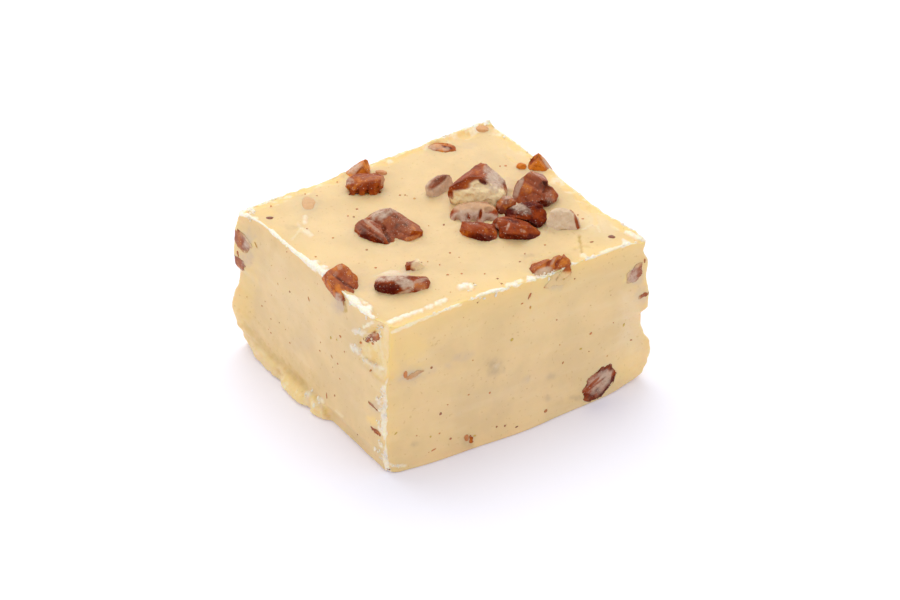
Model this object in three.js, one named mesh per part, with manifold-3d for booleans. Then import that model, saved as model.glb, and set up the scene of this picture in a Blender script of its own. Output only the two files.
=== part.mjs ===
// A square of pecan fudge: one wire-cut block of cream fudge with chopped pecan pieces on its top
// and in its sides. Millimetres, +Z up, origin in the middle of the base it rests on.
// The block's front is its -Y side and its left is its -X side.
import * as THREE from "three";
import { mergeVertices } from "three/addons/utils/BufferGeometryUtils.js";
import Module from "manifold-3d";

// Driving dimensions of the block
const TOP_WIDTH = 45; // along X
const TOP_DEPTH = 40.5; // along Y
const HEIGHT = 24.5;
const BASE_FLARE = 0.8; // how far each side leans out from top to base
const FRONT_BOW = 1.1; // extra bulge of the front side's foot, half way along
const FRONT_FOOT = 0.5; // how much further than the other sides the front leans out
const CORNER_RADIUS = 0.6; // of the four upright edges
const BASE_RADIUS = 0.45; // of the edge round the base
const EDGE_REACH = 4; // how far in from an upright edge its own wear is felt
const RIM_REACH = 1.1; // width of the raised, ragged rim round the top
const RIM_LIFT = 0.45; // most that the rim stands up
const RIM_ROOT = 3; // how far down the sides the rim's lift is felt
const EDGE_SHARE = 0.4; // share of an upright edge's wear that its second side shows
const SAG = 0.12; // height of the slow waves over the top
const SAG_WAVES = [0.21, 0.19]; // of those waves, radians per millimetre along X and Y
const SIDE_RIPPLE = 0.1; // height of the slow waves over the sides
const RIPPLE_WAVES = [[0.41, 0.23, 0], [0.17, -0.37, 1]]; // radians per millimetre along and up, start
const RIPPLE_START = { left: 0, front: 4, right: 9, back: 17 }; // place on those waves where a side starts

// Driving dimensions of the pecan pieces
const GAP = 0.35; // clearance round each piece
const BLOCKINESS = 2.5; // 2 makes a lobe an ellipsoid, more squares it up
const GROOVE = 0.2; // depth of the furrows along a lobe, as a share of its radius
const FURROW_SHARPNESS = 8; // a higher power makes the furrows narrower
const WOBBLE = 0.07; // unevenness of a lobe, as a share of its radius
const WOBBLE_WAVES = [[2.3, 1.7, 0, 1], [-2, 0, 3.1, 2]]; // turns along X, Y and Z, and per piece
const LIE = -33.5; // degrees; the turn about Z that most top pieces share

// Grid of the block's surface
const GRID_STEP = 2.6;
const EDGE_LINES = [0, 0.5, 1.4]; // distances of the grid lines that follow an edge
const FOOT_LINES = [0, 0.3, 1, 1.8, 2.8, 3.7];
const LARGE_LOBE = 5; // a lobe longer than this has the larger of each pair of meshes below
const LOBE_MESH = { large: [11, 8], small: [8, 5] }; // sides and rings of a lobe
const POCKET_MESH = { large: [9, 6], small: [7, 5] }; // sides and rings of the hollow it lies in
const KNIFE_SIZE = 30;

// Wear of single edges: [height, how far the edge stands out] down each upright edge
const BACK_LEFT_EDGE = [[0, -1.2], [2, -0.5], [4, 0.6], [7.5, 1.3], [9.5, 0.9], [11.3, 0.3],
  [13.2, 0.2], [15, 1], [17, 1.2], [20.6, 1], [23, 0.6], [HEIGHT, 0.4]];
const FRONT_RIGHT_EDGE = [[0, -1.7], [1.4, -0.4], [3.1, 0.3], [5, 0.7], [6.6, 0.6], [8.4, -0.3],
  [10.1, -0.7], [11.9, -0.6], [12.9, 0.5], [15.4, 0.8], [18, 0.6], [20.6, 0.9], [22.4, 0.2], [HEIGHT, 0.5]];
const FRONT_LEFT_EDGE = [[0, -0.8], [1.5, -0.4], [4, 0], [HEIGHT, 0]];
const BACK_RIGHT_EDGE = [[0, -1], [2.5, 0.1], [8, 0.4], [13, -0.3], [19, 0.3], [HEIGHT, -0.2]];
// How far the front stands back at that edge
const FRONT_LEFT_SETBACK = [[0, -1.3], [1.5, -1.1], [8, -0.9], [14, -0.7], [18, -0.2], [HEIGHT, 0.1]];

// The lip squeezed out along the left side's foot: [y, how far it stands out], [height, share of that]
const LIP_RUN = [[-20, -0.1], [-16, -0.4], [-11, -0.8], [-4.9, -0.8], [-3.5, 0.5], [-1.7, 1], [-0.2, 0.35],
  [1.6, 1], [6, 1.1], [8.6, 0.3], [10.5, 0.6], [16, 0.5], [20, 0.2]];
const LIP_SECTION = [[0, 0.75], [0.8, 1], [1.6, 0.95], [2.4, 0.55], [3, -0.2], [4.2, -0.1], [6, 0]];

// The flake broken off the left side next to the front edge: [y, depth], [height, share of that],
// [y, height of its upper border]
const CHIP_RUN = [[-20.25, 1.7], [-18, 1.5], [-16, 1.2], [-14, 0.75], [-13, 0.4], [-12.6, 0]];
const CHIP_SECTION = [[15.2, 0], [15.8, 0.5], [16.3, 1], [HEIGHT, 1]];
const CHIP_BROW = [[-20.25, 26], [-17.8, 24.4], [-12.8, 19.4], [-12, 18.6]];
const BROW_WIDTH = 0.8; // over which the flake's depth starts at that border
const CHIP_RADIUS = 2.4; // of the upright edge where the flake broke off
const CHIP_FOOT = [15.2, 16.8]; // heights between which the edge takes that radius

// Ragged height of the rim, as a share of RIM_LIFT: [place along the side, share]
const LEFT_RIM = [[-20, 0.6], [-17, 1], [-13, 0.7], [-9, 1], [-6, 0.2], [-3.5, 0.8], [-1.5, 1], [2, 0.5],
  [8, 0.4], [14, 0.6], [17, 0.1], [20, -1]];
const FRONT_RIM = [[-22, 0.6], [-19, 0.8], [-14, 0.6], [-10, 0.9], [-5, 0.5], [0, 0.2], [8, 0], [15, 0.2],
  [19, 0.5], [22, -0.8]];
const BACK_RIM = [[-22, -0.8], [-17, -0.4], [-10, -1], [-4, 0.2], [3, 0.1], [9, 0.6], [16, 1.5], [22, 1.2]];
const RIGHT_RIM = [[-20, -0.3], [-15, 0.2], [-8, -1], [-2, -0.5], [5, 0.2], [12, -0.3], [20, 0.4]];

// Pecan pieces on the top. at: the middle, with its height measured from the top. size: length, width,
// height. turn: degrees about Z, then Y, then X. ridges: pairs of furrows along the piece.
// cuts: chopped faces in the piece's own frame, as [direction about Z, slope up, distance].
// beside: a second lobe of the same kernel. flush: trimmed level with the block's sides.
// blockiness: given where a piece is squarer than the others.
const TOP_PIECES = [
  { name: "pecan_ridged", at: [-4.4, 14.1, 0.6], size: [6.9, 4.3, 3.7], turn: [LIE + 4, 0, 10], ridges: 3,
    cuts: [[-15, 15, 2.7], [165, 35, 2.6], [-90, -35, 1.5], [180, -35, 2.3], [0, -35, 2.2]] },
  { name: "pecan_shard_back", at: [-2.7, 18.3, 0.6], size: [5.2, 2.8, 5], turn: [LIE, 0, 0],
    cuts: [[180, 54, 0.95], [0, 18, 1.5], [-90, 20, 0.9]] },
  { name: "pecan_sliver", at: [0.3, 17, 0.1], size: [1.9, 1.1, 1], turn: [LIE - 5, 0, 0] },
  { name: "pecan_large", at: [-6.9, 2, 0.5], size: [10.6, 6, 5.5], turn: [LIE - 40, 14, 0],
    cuts: [[-90, 42, 1.3], [180, 40, 3.1], [0, 25, 4.4], [100, 32, 2.1]],
    beside: { shift: [-1.2, -3, -0.5], size: [6.8, 3.2, 3.6], ridges: 1 } },
  { name: "pecan_leaf", at: [-20.8, -5.1, 0.3], size: [6.8, 4.3, 3.4], turn: [LIE - 86, 24, -8], ridges: 1,
    cuts: [[138, 5, 1.7], [-142, 5, 1.7], [-60, 25, 1.9]], flush: true },
  { name: "pecan_boat", at: [-14.7, -11.6, 0.3], size: [8, 5.2, 3.8], turn: [LIE + 7, 0, 5], ridges: 2,
    blockiness: 1.9, cuts: [[85, 48, 1.2]] },
  { name: "pecan_cube", at: [-10.4, -8.4, 0.45], size: [3, 2, 2.4], turn: [LIE + 8, 0, 0],
    cuts: [[180, 5, 1.2], [-85, 15, 0.75], [90, 65, 0.9]] },
  { name: "pecan_tan_back", at: [11.8, 18.1, -0.3], size: [5, 3.1, 2], turn: [LIE - 8, 0, 0] },
  { name: "pecan_slab", at: [5, 7.6, 0.5], size: [5.9, 3.1, 4.2], turn: [LIE + 50, 0, -10],
    cuts: [[-90, 12, 0.75], [0, 10, 2.2]] },
  { name: "pecan_broken", at: [8.6, 3, 1.9], size: [8.8, 6.8, 6.4], turn: [LIE - 4, -6, 3], blockiness: 6,
    cuts: [[-93, 8, 3.1], [-4, 36, 3.5], [140, 10, 1.8], [60, 15, 3.2], [30, 82, 2.9]] },
  { name: "pecan_flap", at: [4.9, -1.8, 0.3], size: [7.3, 3.8, 2.6], turn: [LIE - 4, 0, 8], ridges: 1 },
  { name: "pecan_tall", at: [15.5, -2.1, 1.6], size: [6.3, 5.8, 6.6], turn: [LIE - 32, 14, 0], ridges: 1,
    cuts: [[-110, 35, 1.8], [165, 25, 2.7], [60, 40, 2.4]] },
  { name: "pecan_orange_back", at: [21.1, 4.7, 0.7], size: [3.9, 2.2, 5.2], turn: [LIE, 0, 0],
    cuts: [[0, 42, 1], [180, 62, 1.6], [-90, 15, 0.75]] },
  { name: "pecan_crumb", at: [18.9, 6.4, 0.2], size: [1.8, 1.2, 1.3], turn: [LIE - 20, 10, 0],
    cuts: [[-60, 30, 0.5]] },
  { name: "pecan_front_left", at: [2.7, -5.7, 0.4], size: [5.9, 4.2, 3.8], turn: [LIE - 14, 6, 0], ridges: 2,
    cuts: [[100, 42, 1.2]] },
  { name: "pecan_front_low", at: [7.5, -8.8, 0.35], size: [8.4, 4.3, 3.7], turn: [LIE - 2, 8, 0], ridges: 2,
    cuts: [[-150, 20, 2.5]] },
  { name: "pecan_middle", at: [10.8, -6.9, 1.1], size: [6.4, 5, 4.8], turn: [LIE - 30, 10, 0], ridges: 2,
    cuts: [[150, 38, 2], [-70, 45, 1.7]] },
  { name: "pecan_wedge", at: [10, -2.4, 0.7], size: [3, 3.2, 3.8], turn: [LIE - 20, 0, 0],
    cuts: [[-60, 30, 1]] },
  { name: "pecan_pale", at: [14.2, -11.1, 0.9], size: [5, 4.2, 4.8], turn: [LIE - 6, 12, 0], ridges: 1,
    cuts: [[-88, 30, 0.45]] },
  { name: "pecan_edge_front", at: [6.8, -18.3, -0.8], size: [7.2, 4.8, 4.8], turn: [LIE + 30, -7, 0],
    ridges: 3, cuts: [[-100, 30, 1], [175, 35, 2.9], [80, 40, 1.9]], flush: true },
  { name: "pecan_tan_corner", at: [20, 19, 0.2], size: [2.4, 1.9, 1.4], turn: [LIE, 0, 0] },
  { name: "pecan_tan_left", at: [-13.5, 15.3, -0.4], size: [3, 4.6, 1.8], turn: [LIE, 0, 0] },
];

// Pecan pieces that the wire cut through, all trimmed level with the sides
const SIDE_PIECES = [
  { name: "pecan_oval", at: [14, -21.1, -21.4], size: [7.2, 5, 3.5], turn: [0, -23, 0] },
  { name: "pecan_front_sliver", at: [-17.9, -19.7, -8.8], size: [3.6, 2.6, 1.7], turn: [0, -4, 0] },
  { name: "pecan_front_chip", at: [-9.3, -21.3, -22.7], size: [1.5, 2.4, 2.5], turn: [0, 8, 0] },
  { name: "pecan_right_upper", at: [21.2, -18.8, -5.2], size: [5.2, 4.6, 4.8], turn: [20, -25, 0] },
  { name: "pecan_right_lower", at: [22, -19.2, -9.3], size: [3.8, 4, 3.2], turn: [30, 0, 0] },
  { name: "pecan_left_upper", at: [-22, 19, -5], size: [4, 5.6, 4.2], turn: [0, 0, 30] },
  { name: "pecan_left_lower", at: [-22.4, 19.8, -9], size: [3.4, 3.8, 3], turn: [0, 0, 0] },
  { name: "pecan_chip_upper", at: [-21.4, -15.1, -4.1], size: [3.4, 5.4, 2], turn: [0, 0, -36] },
  { name: "pecan_edge_thin", at: [-22.4, -17.1, -14.4], size: [2.4, 3.6, 0.9], turn: [0, 0, 5] },
  { name: "pecan_edge_lower", at: [-22.3, -18, -18.3], size: [3, 3.9, 1.7], turn: [0, 0, 5] },
  { name: "pecan_back_left", at: [-9, 19.8, -9.4], size: [6, 4.4, 3.6], turn: [0, 20, 0] },
  { name: "pecan_back_low", at: [7, 20.1, -18], size: [4.2, 3.6, 2.6], turn: [0, -30, 0] },
  { name: "pecan_back_right", at: [15, 19.6, -5.6], size: [3.4, 3, 4], turn: [0, 15, 0] },
  { name: "pecan_side_front", at: [22.3, -6, -16.4], size: [4, 6.2, 3.4], turn: [0, 0, 24] },
  { name: "pecan_side_middle", at: [22, 8, -8.6], size: [3.6, 4.6, 2.6], turn: [0, 0, -16] },
  { name: "pecan_side_back", at: [22.7, 13, -19.6], size: [3, 3.4, 2.8], turn: [0, 0, 0] },
];

const wasm = await Module();
wasm.setup();

const clampUnit = (t) => Math.min(Math.max(t, 0), 1);
const smooth = (t) => t * t * (3 - 2 * t);

// The value at t on a smooth curve through [place, value] points in rising order
function along(points, t) {
  const next = points.findIndex(([place]) => place > t);
  if (next === 0) return points[0][1];
  if (next < 0) return points.at(-1)[1];
  const [from, low] = points[next - 1];
  const [to, high] = points[next];
  return low + (high - low) * smooth((t - from) / (to - from));
}

// How strongly wear at an edge is felt at a distance from it
const nearEdge = (distance, reach) => Math.exp(-((distance / reach) ** 2));

const flare = (z) => BASE_FLARE * (1 - z / HEIGHT);

// The base's edge, rounded in by a quarter circle
function baseRound(z) {
  const drop = Math.max(BASE_RADIUS - z, 0);
  return Math.sqrt(BASE_RADIUS ** 2 - drop ** 2) - BASE_RADIUS;
}

function ripple(side, s, z) {
  const wave = ([along, up, start]) => Math.sin(along * (s + RIPPLE_START[side]) + up * z + start);
  return SIDE_RIPPLE * RIPPLE_WAVES.reduce((sum, row) => sum + wave(row), 0);
}

// Depth of the flake broken off the left side
function chipDepth(y, z) {
  const underBrow = smooth(clampUnit((along(CHIP_BROW, y) - z) / BROW_WIDTH + 0.5));
  return along(CHIP_RUN, y) * along(CHIP_SECTION, z) * underBrow;
}

// Radius of the upright edge nearest to a place
function cornerRadius(x, y, z) {
  if (x > 0 || y > 0) return CORNER_RADIUS;
  const [low, high] = CHIP_FOOT;
  return CORNER_RADIUS + (CHIP_RADIUS - CORNER_RADIUS) * smooth(clampUnit((z - low) / (high - low)));
}

// How far each side stands out of the plain block, at a place along it and a height
function leftOut(y, z) {
  const fromFront = y + TOP_DEPTH / 2;
  const fromBack = TOP_DEPTH / 2 - y;
  const wear = along(BACK_LEFT_EDGE, z) * nearEdge(fromBack, EDGE_REACH) +
    along(FRONT_LEFT_EDGE, z) * nearEdge(fromFront, EDGE_REACH);
  const lip = along(LIP_RUN, y) * along(LIP_SECTION, z);
  return flare(z) + baseRound(z) + ripple("left", y, z) + wear + lip - chipDepth(y, z);
}

function rightOut(y, z) {
  const fromFront = y + TOP_DEPTH / 2;
  const fromBack = TOP_DEPTH / 2 - y;
  const wear = along(FRONT_RIGHT_EDGE, z) * nearEdge(fromFront, EDGE_REACH) +
    along(BACK_RIGHT_EDGE, z) * nearEdge(fromBack, EDGE_REACH);
  return flare(z) + baseRound(z) + ripple("right", y, z) + wear;
}

function frontOut(x, z) {
  const fromLeft = x + TOP_WIDTH / 2;
  const fromRight = TOP_WIDTH / 2 - x;
  const bow = FRONT_BOW * (1 - z / HEIGHT) * Math.cos((Math.PI * x) / TOP_WIDTH);
  const wear = along(FRONT_LEFT_SETBACK, z) * nearEdge(fromLeft, EDGE_REACH) +
    EDGE_SHARE * along(FRONT_RIGHT_EDGE, z) * nearEdge(fromRight, EDGE_REACH);
  const lean = (BASE_FLARE + FRONT_FOOT) * (1 - z / HEIGHT);
  return lean + baseRound(z) + ripple("front", x, z) + bow + wear;
}

function backOut(x, z) {
  const fromLeft = x + TOP_WIDTH / 2;
  const wear = EDGE_SHARE * along(BACK_LEFT_EDGE, z) * nearEdge(fromLeft, EDGE_REACH);
  return flare(z) + baseRound(z) + ripple("back", x, z) + wear;
}

// How far the top stands over its plain height
function topLift(x, y) {
  const rims = [[LEFT_RIM, y, x + TOP_WIDTH / 2], [RIGHT_RIM, y, TOP_WIDTH / 2 - x],
    [FRONT_RIM, x, y + TOP_DEPTH / 2], [BACK_RIM, x, TOP_DEPTH / 2 - y]];
  const lift = ([run, s, distance]) => along(run, s) * nearEdge(distance, RIM_REACH);
  const rim = rims.reduce((sum, row) => sum + lift(row), 0);
  return RIM_LIFT * rim + SAG * Math.sin(SAG_WAVES[0] * x + 1) * Math.cos(SAG_WAVES[1] * y);
}

// A point of the plain block carried to its real place
function worn(x, y, z) {
  const inX = TOP_WIDTH / 2 - Math.abs(x);
  const inY = TOP_DEPTH / 2 - Math.abs(y);
  const radius = cornerRadius(x, y, z);
  const armX = Math.max(radius - inX, 0);
  const armY = Math.max(radius - inY, 0);
  const pull = armX && armY ? Math.max(armX, armY) / Math.hypot(armX, armY) - 1 : 0;
  const fade = (distance) => Math.exp(-distance / EDGE_REACH);
  const shiftX = rightOut(y, z) * fade(TOP_WIDTH / 2 - x) - leftOut(y, z) * fade(TOP_WIDTH / 2 + x);
  const shiftY = backOut(x, z) * fade(TOP_DEPTH / 2 - y) - frontOut(x, z) * fade(TOP_DEPTH / 2 + y);
  const rise = topLift(x, y) * smooth(clampUnit((z - HEIGHT + RIM_ROOT) / RIM_ROOT));
  return [x + Math.sign(x) * armX * pull + shiftX, y + Math.sign(y) * armY * pull + shiftY, z + rise];
}

// Grid lines over a length, close together at both ends
function gridLines(length) {
  const half = length / 2;
  const inner = half - EDGE_LINES.at(-1);
  const count = Math.round((2 * inner) / GRID_STEP);
  const middle = Array.from({ length: count + 1 }, (_, i) => -inner + (2 * inner * i) / count);
  const ends = EDGE_LINES.slice(0, -1).map((distance) => half - distance);
  return [...ends.map((place) => -place), ...middle, ...ends.reverse()];
}

// Grid lines up the sides, close together at the foot and at the rim
function heightLines() {
  const low = FOOT_LINES.at(-1);
  const high = HEIGHT - EDGE_LINES.at(-1);
  const count = Math.round((high - low) / GRID_STEP);
  const middle = Array.from({ length: count }, (_, i) => low + ((high - low) * (i + 1)) / count);
  return [...FOOT_LINES, ...middle, ...EDGE_LINES.slice(0, -1).reverse().map((d) => HEIGHT - d)];
}

// The whole block before its pieces are set in; raise lifts its top, to trim pieces by the sides alone
function blockGeometry(raise = 0) {
  const xs = gridLines(TOP_WIDTH);
  const ys = gridLines(TOP_DEPTH);
  const zs = heightLines();
  const [right, back] = [TOP_WIDTH / 2, TOP_DEPTH / 2];
  const corners = [];
  const triangle = (...points) => points.forEach((point) => {
    const [x, y, z] = worn(...point);
    corners.push(x, y, point[2] === HEIGHT ? z + raise : z);
  });
  const patch = (us, vs, place) => {
    for (let i = 0; i + 1 < us.length; i++) {
      for (let j = 0; j + 1 < vs.length; j++) {
        const [a, b] = [place(us[i], vs[j]), place(us[i + 1], vs[j])];
        const [c, d] = [place(us[i + 1], vs[j + 1]), place(us[i], vs[j + 1])];
        triangle(a, b, c);
        triangle(a, c, d);
      }
    }
  };
  patch(xs, ys, (x, y) => [x, y, HEIGHT]);
  patch(xs, zs, (x, z) => [x, -back, z]);
  patch(xs.toReversed(), zs, (x, z) => [x, back, z]);
  patch(ys, zs, (y, z) => [right, y, z]);
  patch(ys.toReversed(), zs, (y, z) => [-right, y, z]);
  const foot = [...xs.map((x) => [x, -back, 0]), ...ys.slice(1).map((y) => [right, y, 0]),
    ...xs.toReversed().slice(1).map((x) => [x, back, 0]),
    ...ys.toReversed().slice(1).map((y) => [-right, y, 0])];
  foot.slice(1).forEach((point, i) => triangle([0, 0, 0], point, foot[i]));
  const geometry = new THREE.BufferGeometry();
  return geometry.setAttribute("position", new THREE.Float32BufferAttribute(corners, 3));
}

function solidFrom(geometry) {
  const bare = geometry.clone();
  bare.deleteAttribute("normal");
  bare.deleteAttribute("uv");
  const merged = mergeVertices(bare, 1e-4);
  const vertProperties = new Float32Array(merged.getAttribute("position").array);
  const triVerts = new Uint32Array(merged.index.array);
  return new wasm.Manifold(new wasm.Mesh({ numProp: 3, vertProperties, triVerts }));
}

// The largest body of a solid as a geometry, without any loose scrap
function geometryFrom(solid) {
  const bodies = solid.decompose().sort((a, b) => b.volume() - a.volume());
  const mesh = bodies[0].getMesh();
  const geometry = new THREE.BufferGeometry();
  geometry.setAttribute("position", new THREE.Float32BufferAttribute(mesh.vertProperties, 3));
  geometry.setIndex(new THREE.BufferAttribute(mesh.triVerts, 1));
  geometry.computeVertexNormals();
  return geometry;
}

// One lobe of a kernel, long in X, with furrows along it. Grown by a gap it is the hollow for that
// lobe, which has no furrows, and has fewer faces unless the lobe is a square one.
function lobeSolid({ size, ridges = 0, blockiness = BLOCKINESS }, phase, grow) {
  const coarse = grow && blockiness === BLOCKINESS;
  const mesh = (coarse ? POCKET_MESH : LOBE_MESH)[size[0] > LARGE_LOBE ? "large" : "small"];
  const shape = new THREE.SphereGeometry(1, ...mesh).rotateZ(Math.PI / 2);
  const spots = shape.getAttribute("position");
  const half = size.map((length) => length / 2 + grow);
  for (let i = 0; i < spots.count; i++) {
    const p = new THREE.Vector3().fromBufferAttribute(spots, i);
    const squareness = (Math.abs(p.x) ** blockiness + Math.abs(p.y) ** blockiness +
      Math.abs(p.z) ** blockiness) ** (1 / blockiness);
    const angle = Math.atan2(p.y, p.z);
    const furrowed = ridges && !grow;
    const furrow = furrowed ? GROOVE * (1 - p.x ** 2) * Math.cos(ridges * angle) ** FURROW_SHARPNESS : 0;
    const wave = ([alongX, alongY, alongZ, perPiece]) =>
      Math.sin(alongX * p.x + alongY * p.y + alongZ * p.z + perPiece * phase);
    const uneven = WOBBLE_WAVES.reduce((sum, row) => sum + WOBBLE * wave(row), 0);
    p.multiplyScalar((1 - furrow + uneven) / squareness);
    spots.setXYZ(i, p.x * half[0], p.y * half[1], p.z * half[2]);
  }
  return solidFrom(shape);
}

// What a knife takes off past a flat cut
function knifeSolid([direction, slope, distance], grow) {
  const heading = THREE.MathUtils.degToRad(direction);
  const rise = THREE.MathUtils.degToRad(slope);
  const away = new THREE.Vector3(Math.cos(heading) * Math.cos(rise), Math.sin(heading) * Math.cos(rise),
    Math.sin(rise));
  const blade = new THREE.BoxGeometry(KNIFE_SIZE, KNIFE_SIZE, KNIFE_SIZE);
  blade.translate(0, 0, KNIFE_SIZE / 2 + distance + grow);
  blade.applyQuaternion(new THREE.Quaternion().setFromUnitVectors(new THREE.Vector3(0, 0, 1), away));
  return solidFrom(blade);
}

// A chopped piece in its own frame
function pieceSolid(piece, phase, grow) {
  const { cuts = [], beside } = piece;
  let solid = lobeSolid(piece, phase, grow);
  cuts.forEach((cut) => {
    solid = solid.subtract(knifeSolid(cut, grow));
  });
  if (!beside) return solid;
  const second = lobeSolid(beside, phase + 1, grow);
  return solid.add(solidFrom(geometryFrom(second).translate(...beside.shift)));
}

const FUDGE_MATERIAL = new THREE.MeshStandardMaterial({ color: 0xeed29c, roughness: 0.5, metalness: 0 });
const PECAN_MATERIAL = new THREE.MeshStandardMaterial({ color: 0x8a4a2a, roughness: 0.45, metalness: 0 });

const moved = (solid, matrix) => solidFrom(geometryFrom(solid).applyMatrix4(matrix));

const square = new THREE.Group();
const betweenSides = solidFrom(blockGeometry(KNIFE_SIZE));
let block = solidFrom(blockGeometry());
const pockets = [];
const cutThrough = SIDE_PIECES.map((piece) => ({ ...piece, flush: true }));
[...TOP_PIECES, ...cutThrough].forEach((piece, index) => {
  const mesh = new THREE.Mesh(new THREE.BufferGeometry(), PECAN_MATERIAL);
  const [yaw, pitch, roll] = piece.turn.map(THREE.MathUtils.degToRad);
  mesh.name = piece.name;
  mesh.position.set(piece.at[0], piece.at[1], HEIGHT + piece.at[2]);
  mesh.rotation.set(roll, pitch, yaw, "ZYX");
  mesh.updateMatrix();
  const back = mesh.matrix.clone().invert();
  let solid = pieceSolid(piece, index, 0);
  pockets.forEach((pocket) => {
    solid = solid.subtract(moved(pocket, back));
  });
  if (piece.flush) solid = solid.intersect(moved(betweenSides, back));
  mesh.geometry = geometryFrom(solid);
  const pocket = moved(pieceSolid(piece, index, GAP), mesh.matrix);
  pockets.push(pocket);
  block = block.subtract(pocket);
  square.add(mesh);
});

const blockMesh = new THREE.Mesh(geometryFrom(block), FUDGE_MATERIAL);
blockMesh.name = "fudge_block";
square.add(blockMesh);

// The origin goes to the middle of the whole square's footprint
const middle = new THREE.Box3().setFromObject(square, true).getCenter(new THREE.Vector3());
square.position.set(-middle.x, -middle.y, 0);

const fudge = new THREE.Group();
fudge.add(square);

export default fudge;
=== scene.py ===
import math

import bmesh
import bpy
import numpy as np
from mathutils import Matrix, Vector
from mathutils.bvhtree import BVHTree
from mathutils.kdtree import KDTree


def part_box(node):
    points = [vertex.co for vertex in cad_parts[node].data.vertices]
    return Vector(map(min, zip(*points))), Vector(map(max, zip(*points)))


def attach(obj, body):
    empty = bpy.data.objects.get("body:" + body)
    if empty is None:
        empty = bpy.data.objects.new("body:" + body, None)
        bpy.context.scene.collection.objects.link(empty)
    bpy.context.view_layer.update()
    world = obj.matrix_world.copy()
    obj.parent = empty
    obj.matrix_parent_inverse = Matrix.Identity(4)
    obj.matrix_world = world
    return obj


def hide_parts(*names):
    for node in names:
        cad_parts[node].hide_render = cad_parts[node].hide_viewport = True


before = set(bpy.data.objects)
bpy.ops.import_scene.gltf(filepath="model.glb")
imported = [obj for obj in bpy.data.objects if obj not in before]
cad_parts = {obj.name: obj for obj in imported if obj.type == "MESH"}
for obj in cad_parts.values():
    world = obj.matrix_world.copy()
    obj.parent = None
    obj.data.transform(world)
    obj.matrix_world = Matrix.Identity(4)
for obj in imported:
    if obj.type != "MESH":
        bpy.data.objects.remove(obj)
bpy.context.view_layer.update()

bl_info = {
    "name": "Pecan Fudge Square",
    "version": (1, 0, 0),
    "blender": (4, 5, 0),
    "location": "View3D > Sidebar > Fudge",
    "description": "Builds a square of cream fudge with chopped pecans on it",
    "category": "Object",
}

MM = 0.001

# Wear of the upright edges: (height, how far the edge stands out), millimetres
BACK_LEFT_EDGE = [(0, -1.2), (2, -0.5), (4, 0.6), (7.5, 1.3), (9.5, 0.9), (11.3, 0.3), (13.2, 0.2), (15, 1),
                  (17, 1.2), (20.6, 1), (23, 0.6), (24.5, 0.4)]
FRONT_RIGHT_EDGE = [(0, -1.7), (1.4, -0.4), (3.1, 0.3), (5, 0.7), (6.6, 0.6), (8.4, -0.3), (10.1, -0.7),
                    (11.9, -0.6), (12.9, 0.5), (15.4, 0.8), (18, 0.6), (20.6, 0.9), (22.4, 0.2),
                    (24.5, 0.5)]
FRONT_LEFT_EDGE = [(0, -0.1), (1.5, -0.1), (4, 0), (24.5, 0)]
BACK_RIGHT_EDGE = [(0, -1), (2.5, 0.1), (8, 0.4), (13, -0.3), (19, 0.3), (24.5, -0.2)]
FRONT_LEFT_SETBACK = [(0, -0.2), (1, -0.5), (3, -0.8), (8, -0.9), (14, -0.7), (18, -0.2), (24.5, 0.1)]

# The lip squeezed out along the left side's foot, and the flake broken off beside the front edge, with
# the height of its upper border
LIP_RUN = [(-20, -0.1), (-16, -0.4), (-11, -0.8), (-4.9, -0.8), (-3.5, 0.5), (-1.7, 1), (-0.2, 0.35),
           (1.6, 1), (6, 1.1), (8.6, 0.3), (10.5, 0.6), (16, 0.5), (20, 0.2)]
LIP_SECTION = [(0, 0.75), (0.8, 1), (1.6, 0.95), (2.4, 0.55), (3, -0.2), (4.2, -0.1), (6, 0)]
CHIP_RUN = [(-20.25, 0.3), (-18.5, 0.85), (-16, 1.05), (-14, 0.75), (-13, 0.4), (-12.6, 0)]
CHIP_SECTION = [(15.2, 0), (15.8, 0.5), (16.3, 1), (24.5, 1)]
CHIP_BROW = [(-20.25, 26), (-17.8, 24.4), (-12.8, 19.4), (-12, 18.6)]
# Radius of the upright edge where the flake broke off and at the base, and the heights between which it
# takes it
CHIP_RADIUS = 1.7
CHIP_FOOT = (15.2, 16.8)
BASE_FOOT = (1.6, 0.4)

# Height of the rim round the top: (place along the side, share of the rim's lift)
LEFT_RIM = [(-20, 0.6), (-17, 1), (-13, 0.7), (-9, 1), (-6, 0.2), (-3.5, 0.8), (-1.5, 1), (2, 0.5),
            (8, 0.4), (14, 0.6), (17, 0.1), (20, -1)]
FRONT_RIM = [(-22, 0.6), (-19, 0.8), (-14, 0.6), (-10, 0.9), (-5, 0.5), (0, 0.2), (8, 0), (15, 0.2),
             (19, 0.5), (22, -0.8)]
BACK_RIM = [(-22, -0.8), (-17, -0.4), (-10, -1), (-4, 0.2), (3, 0.1), (9, 0.6), (16, 1.5), (22, 1.2)]
RIGHT_RIM = [(-20, -0.3), (-15, 0.2), (-8, -1), (-2, -0.5), (5, 0.2), (12, -0.3), (20, 0.4)]

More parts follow.
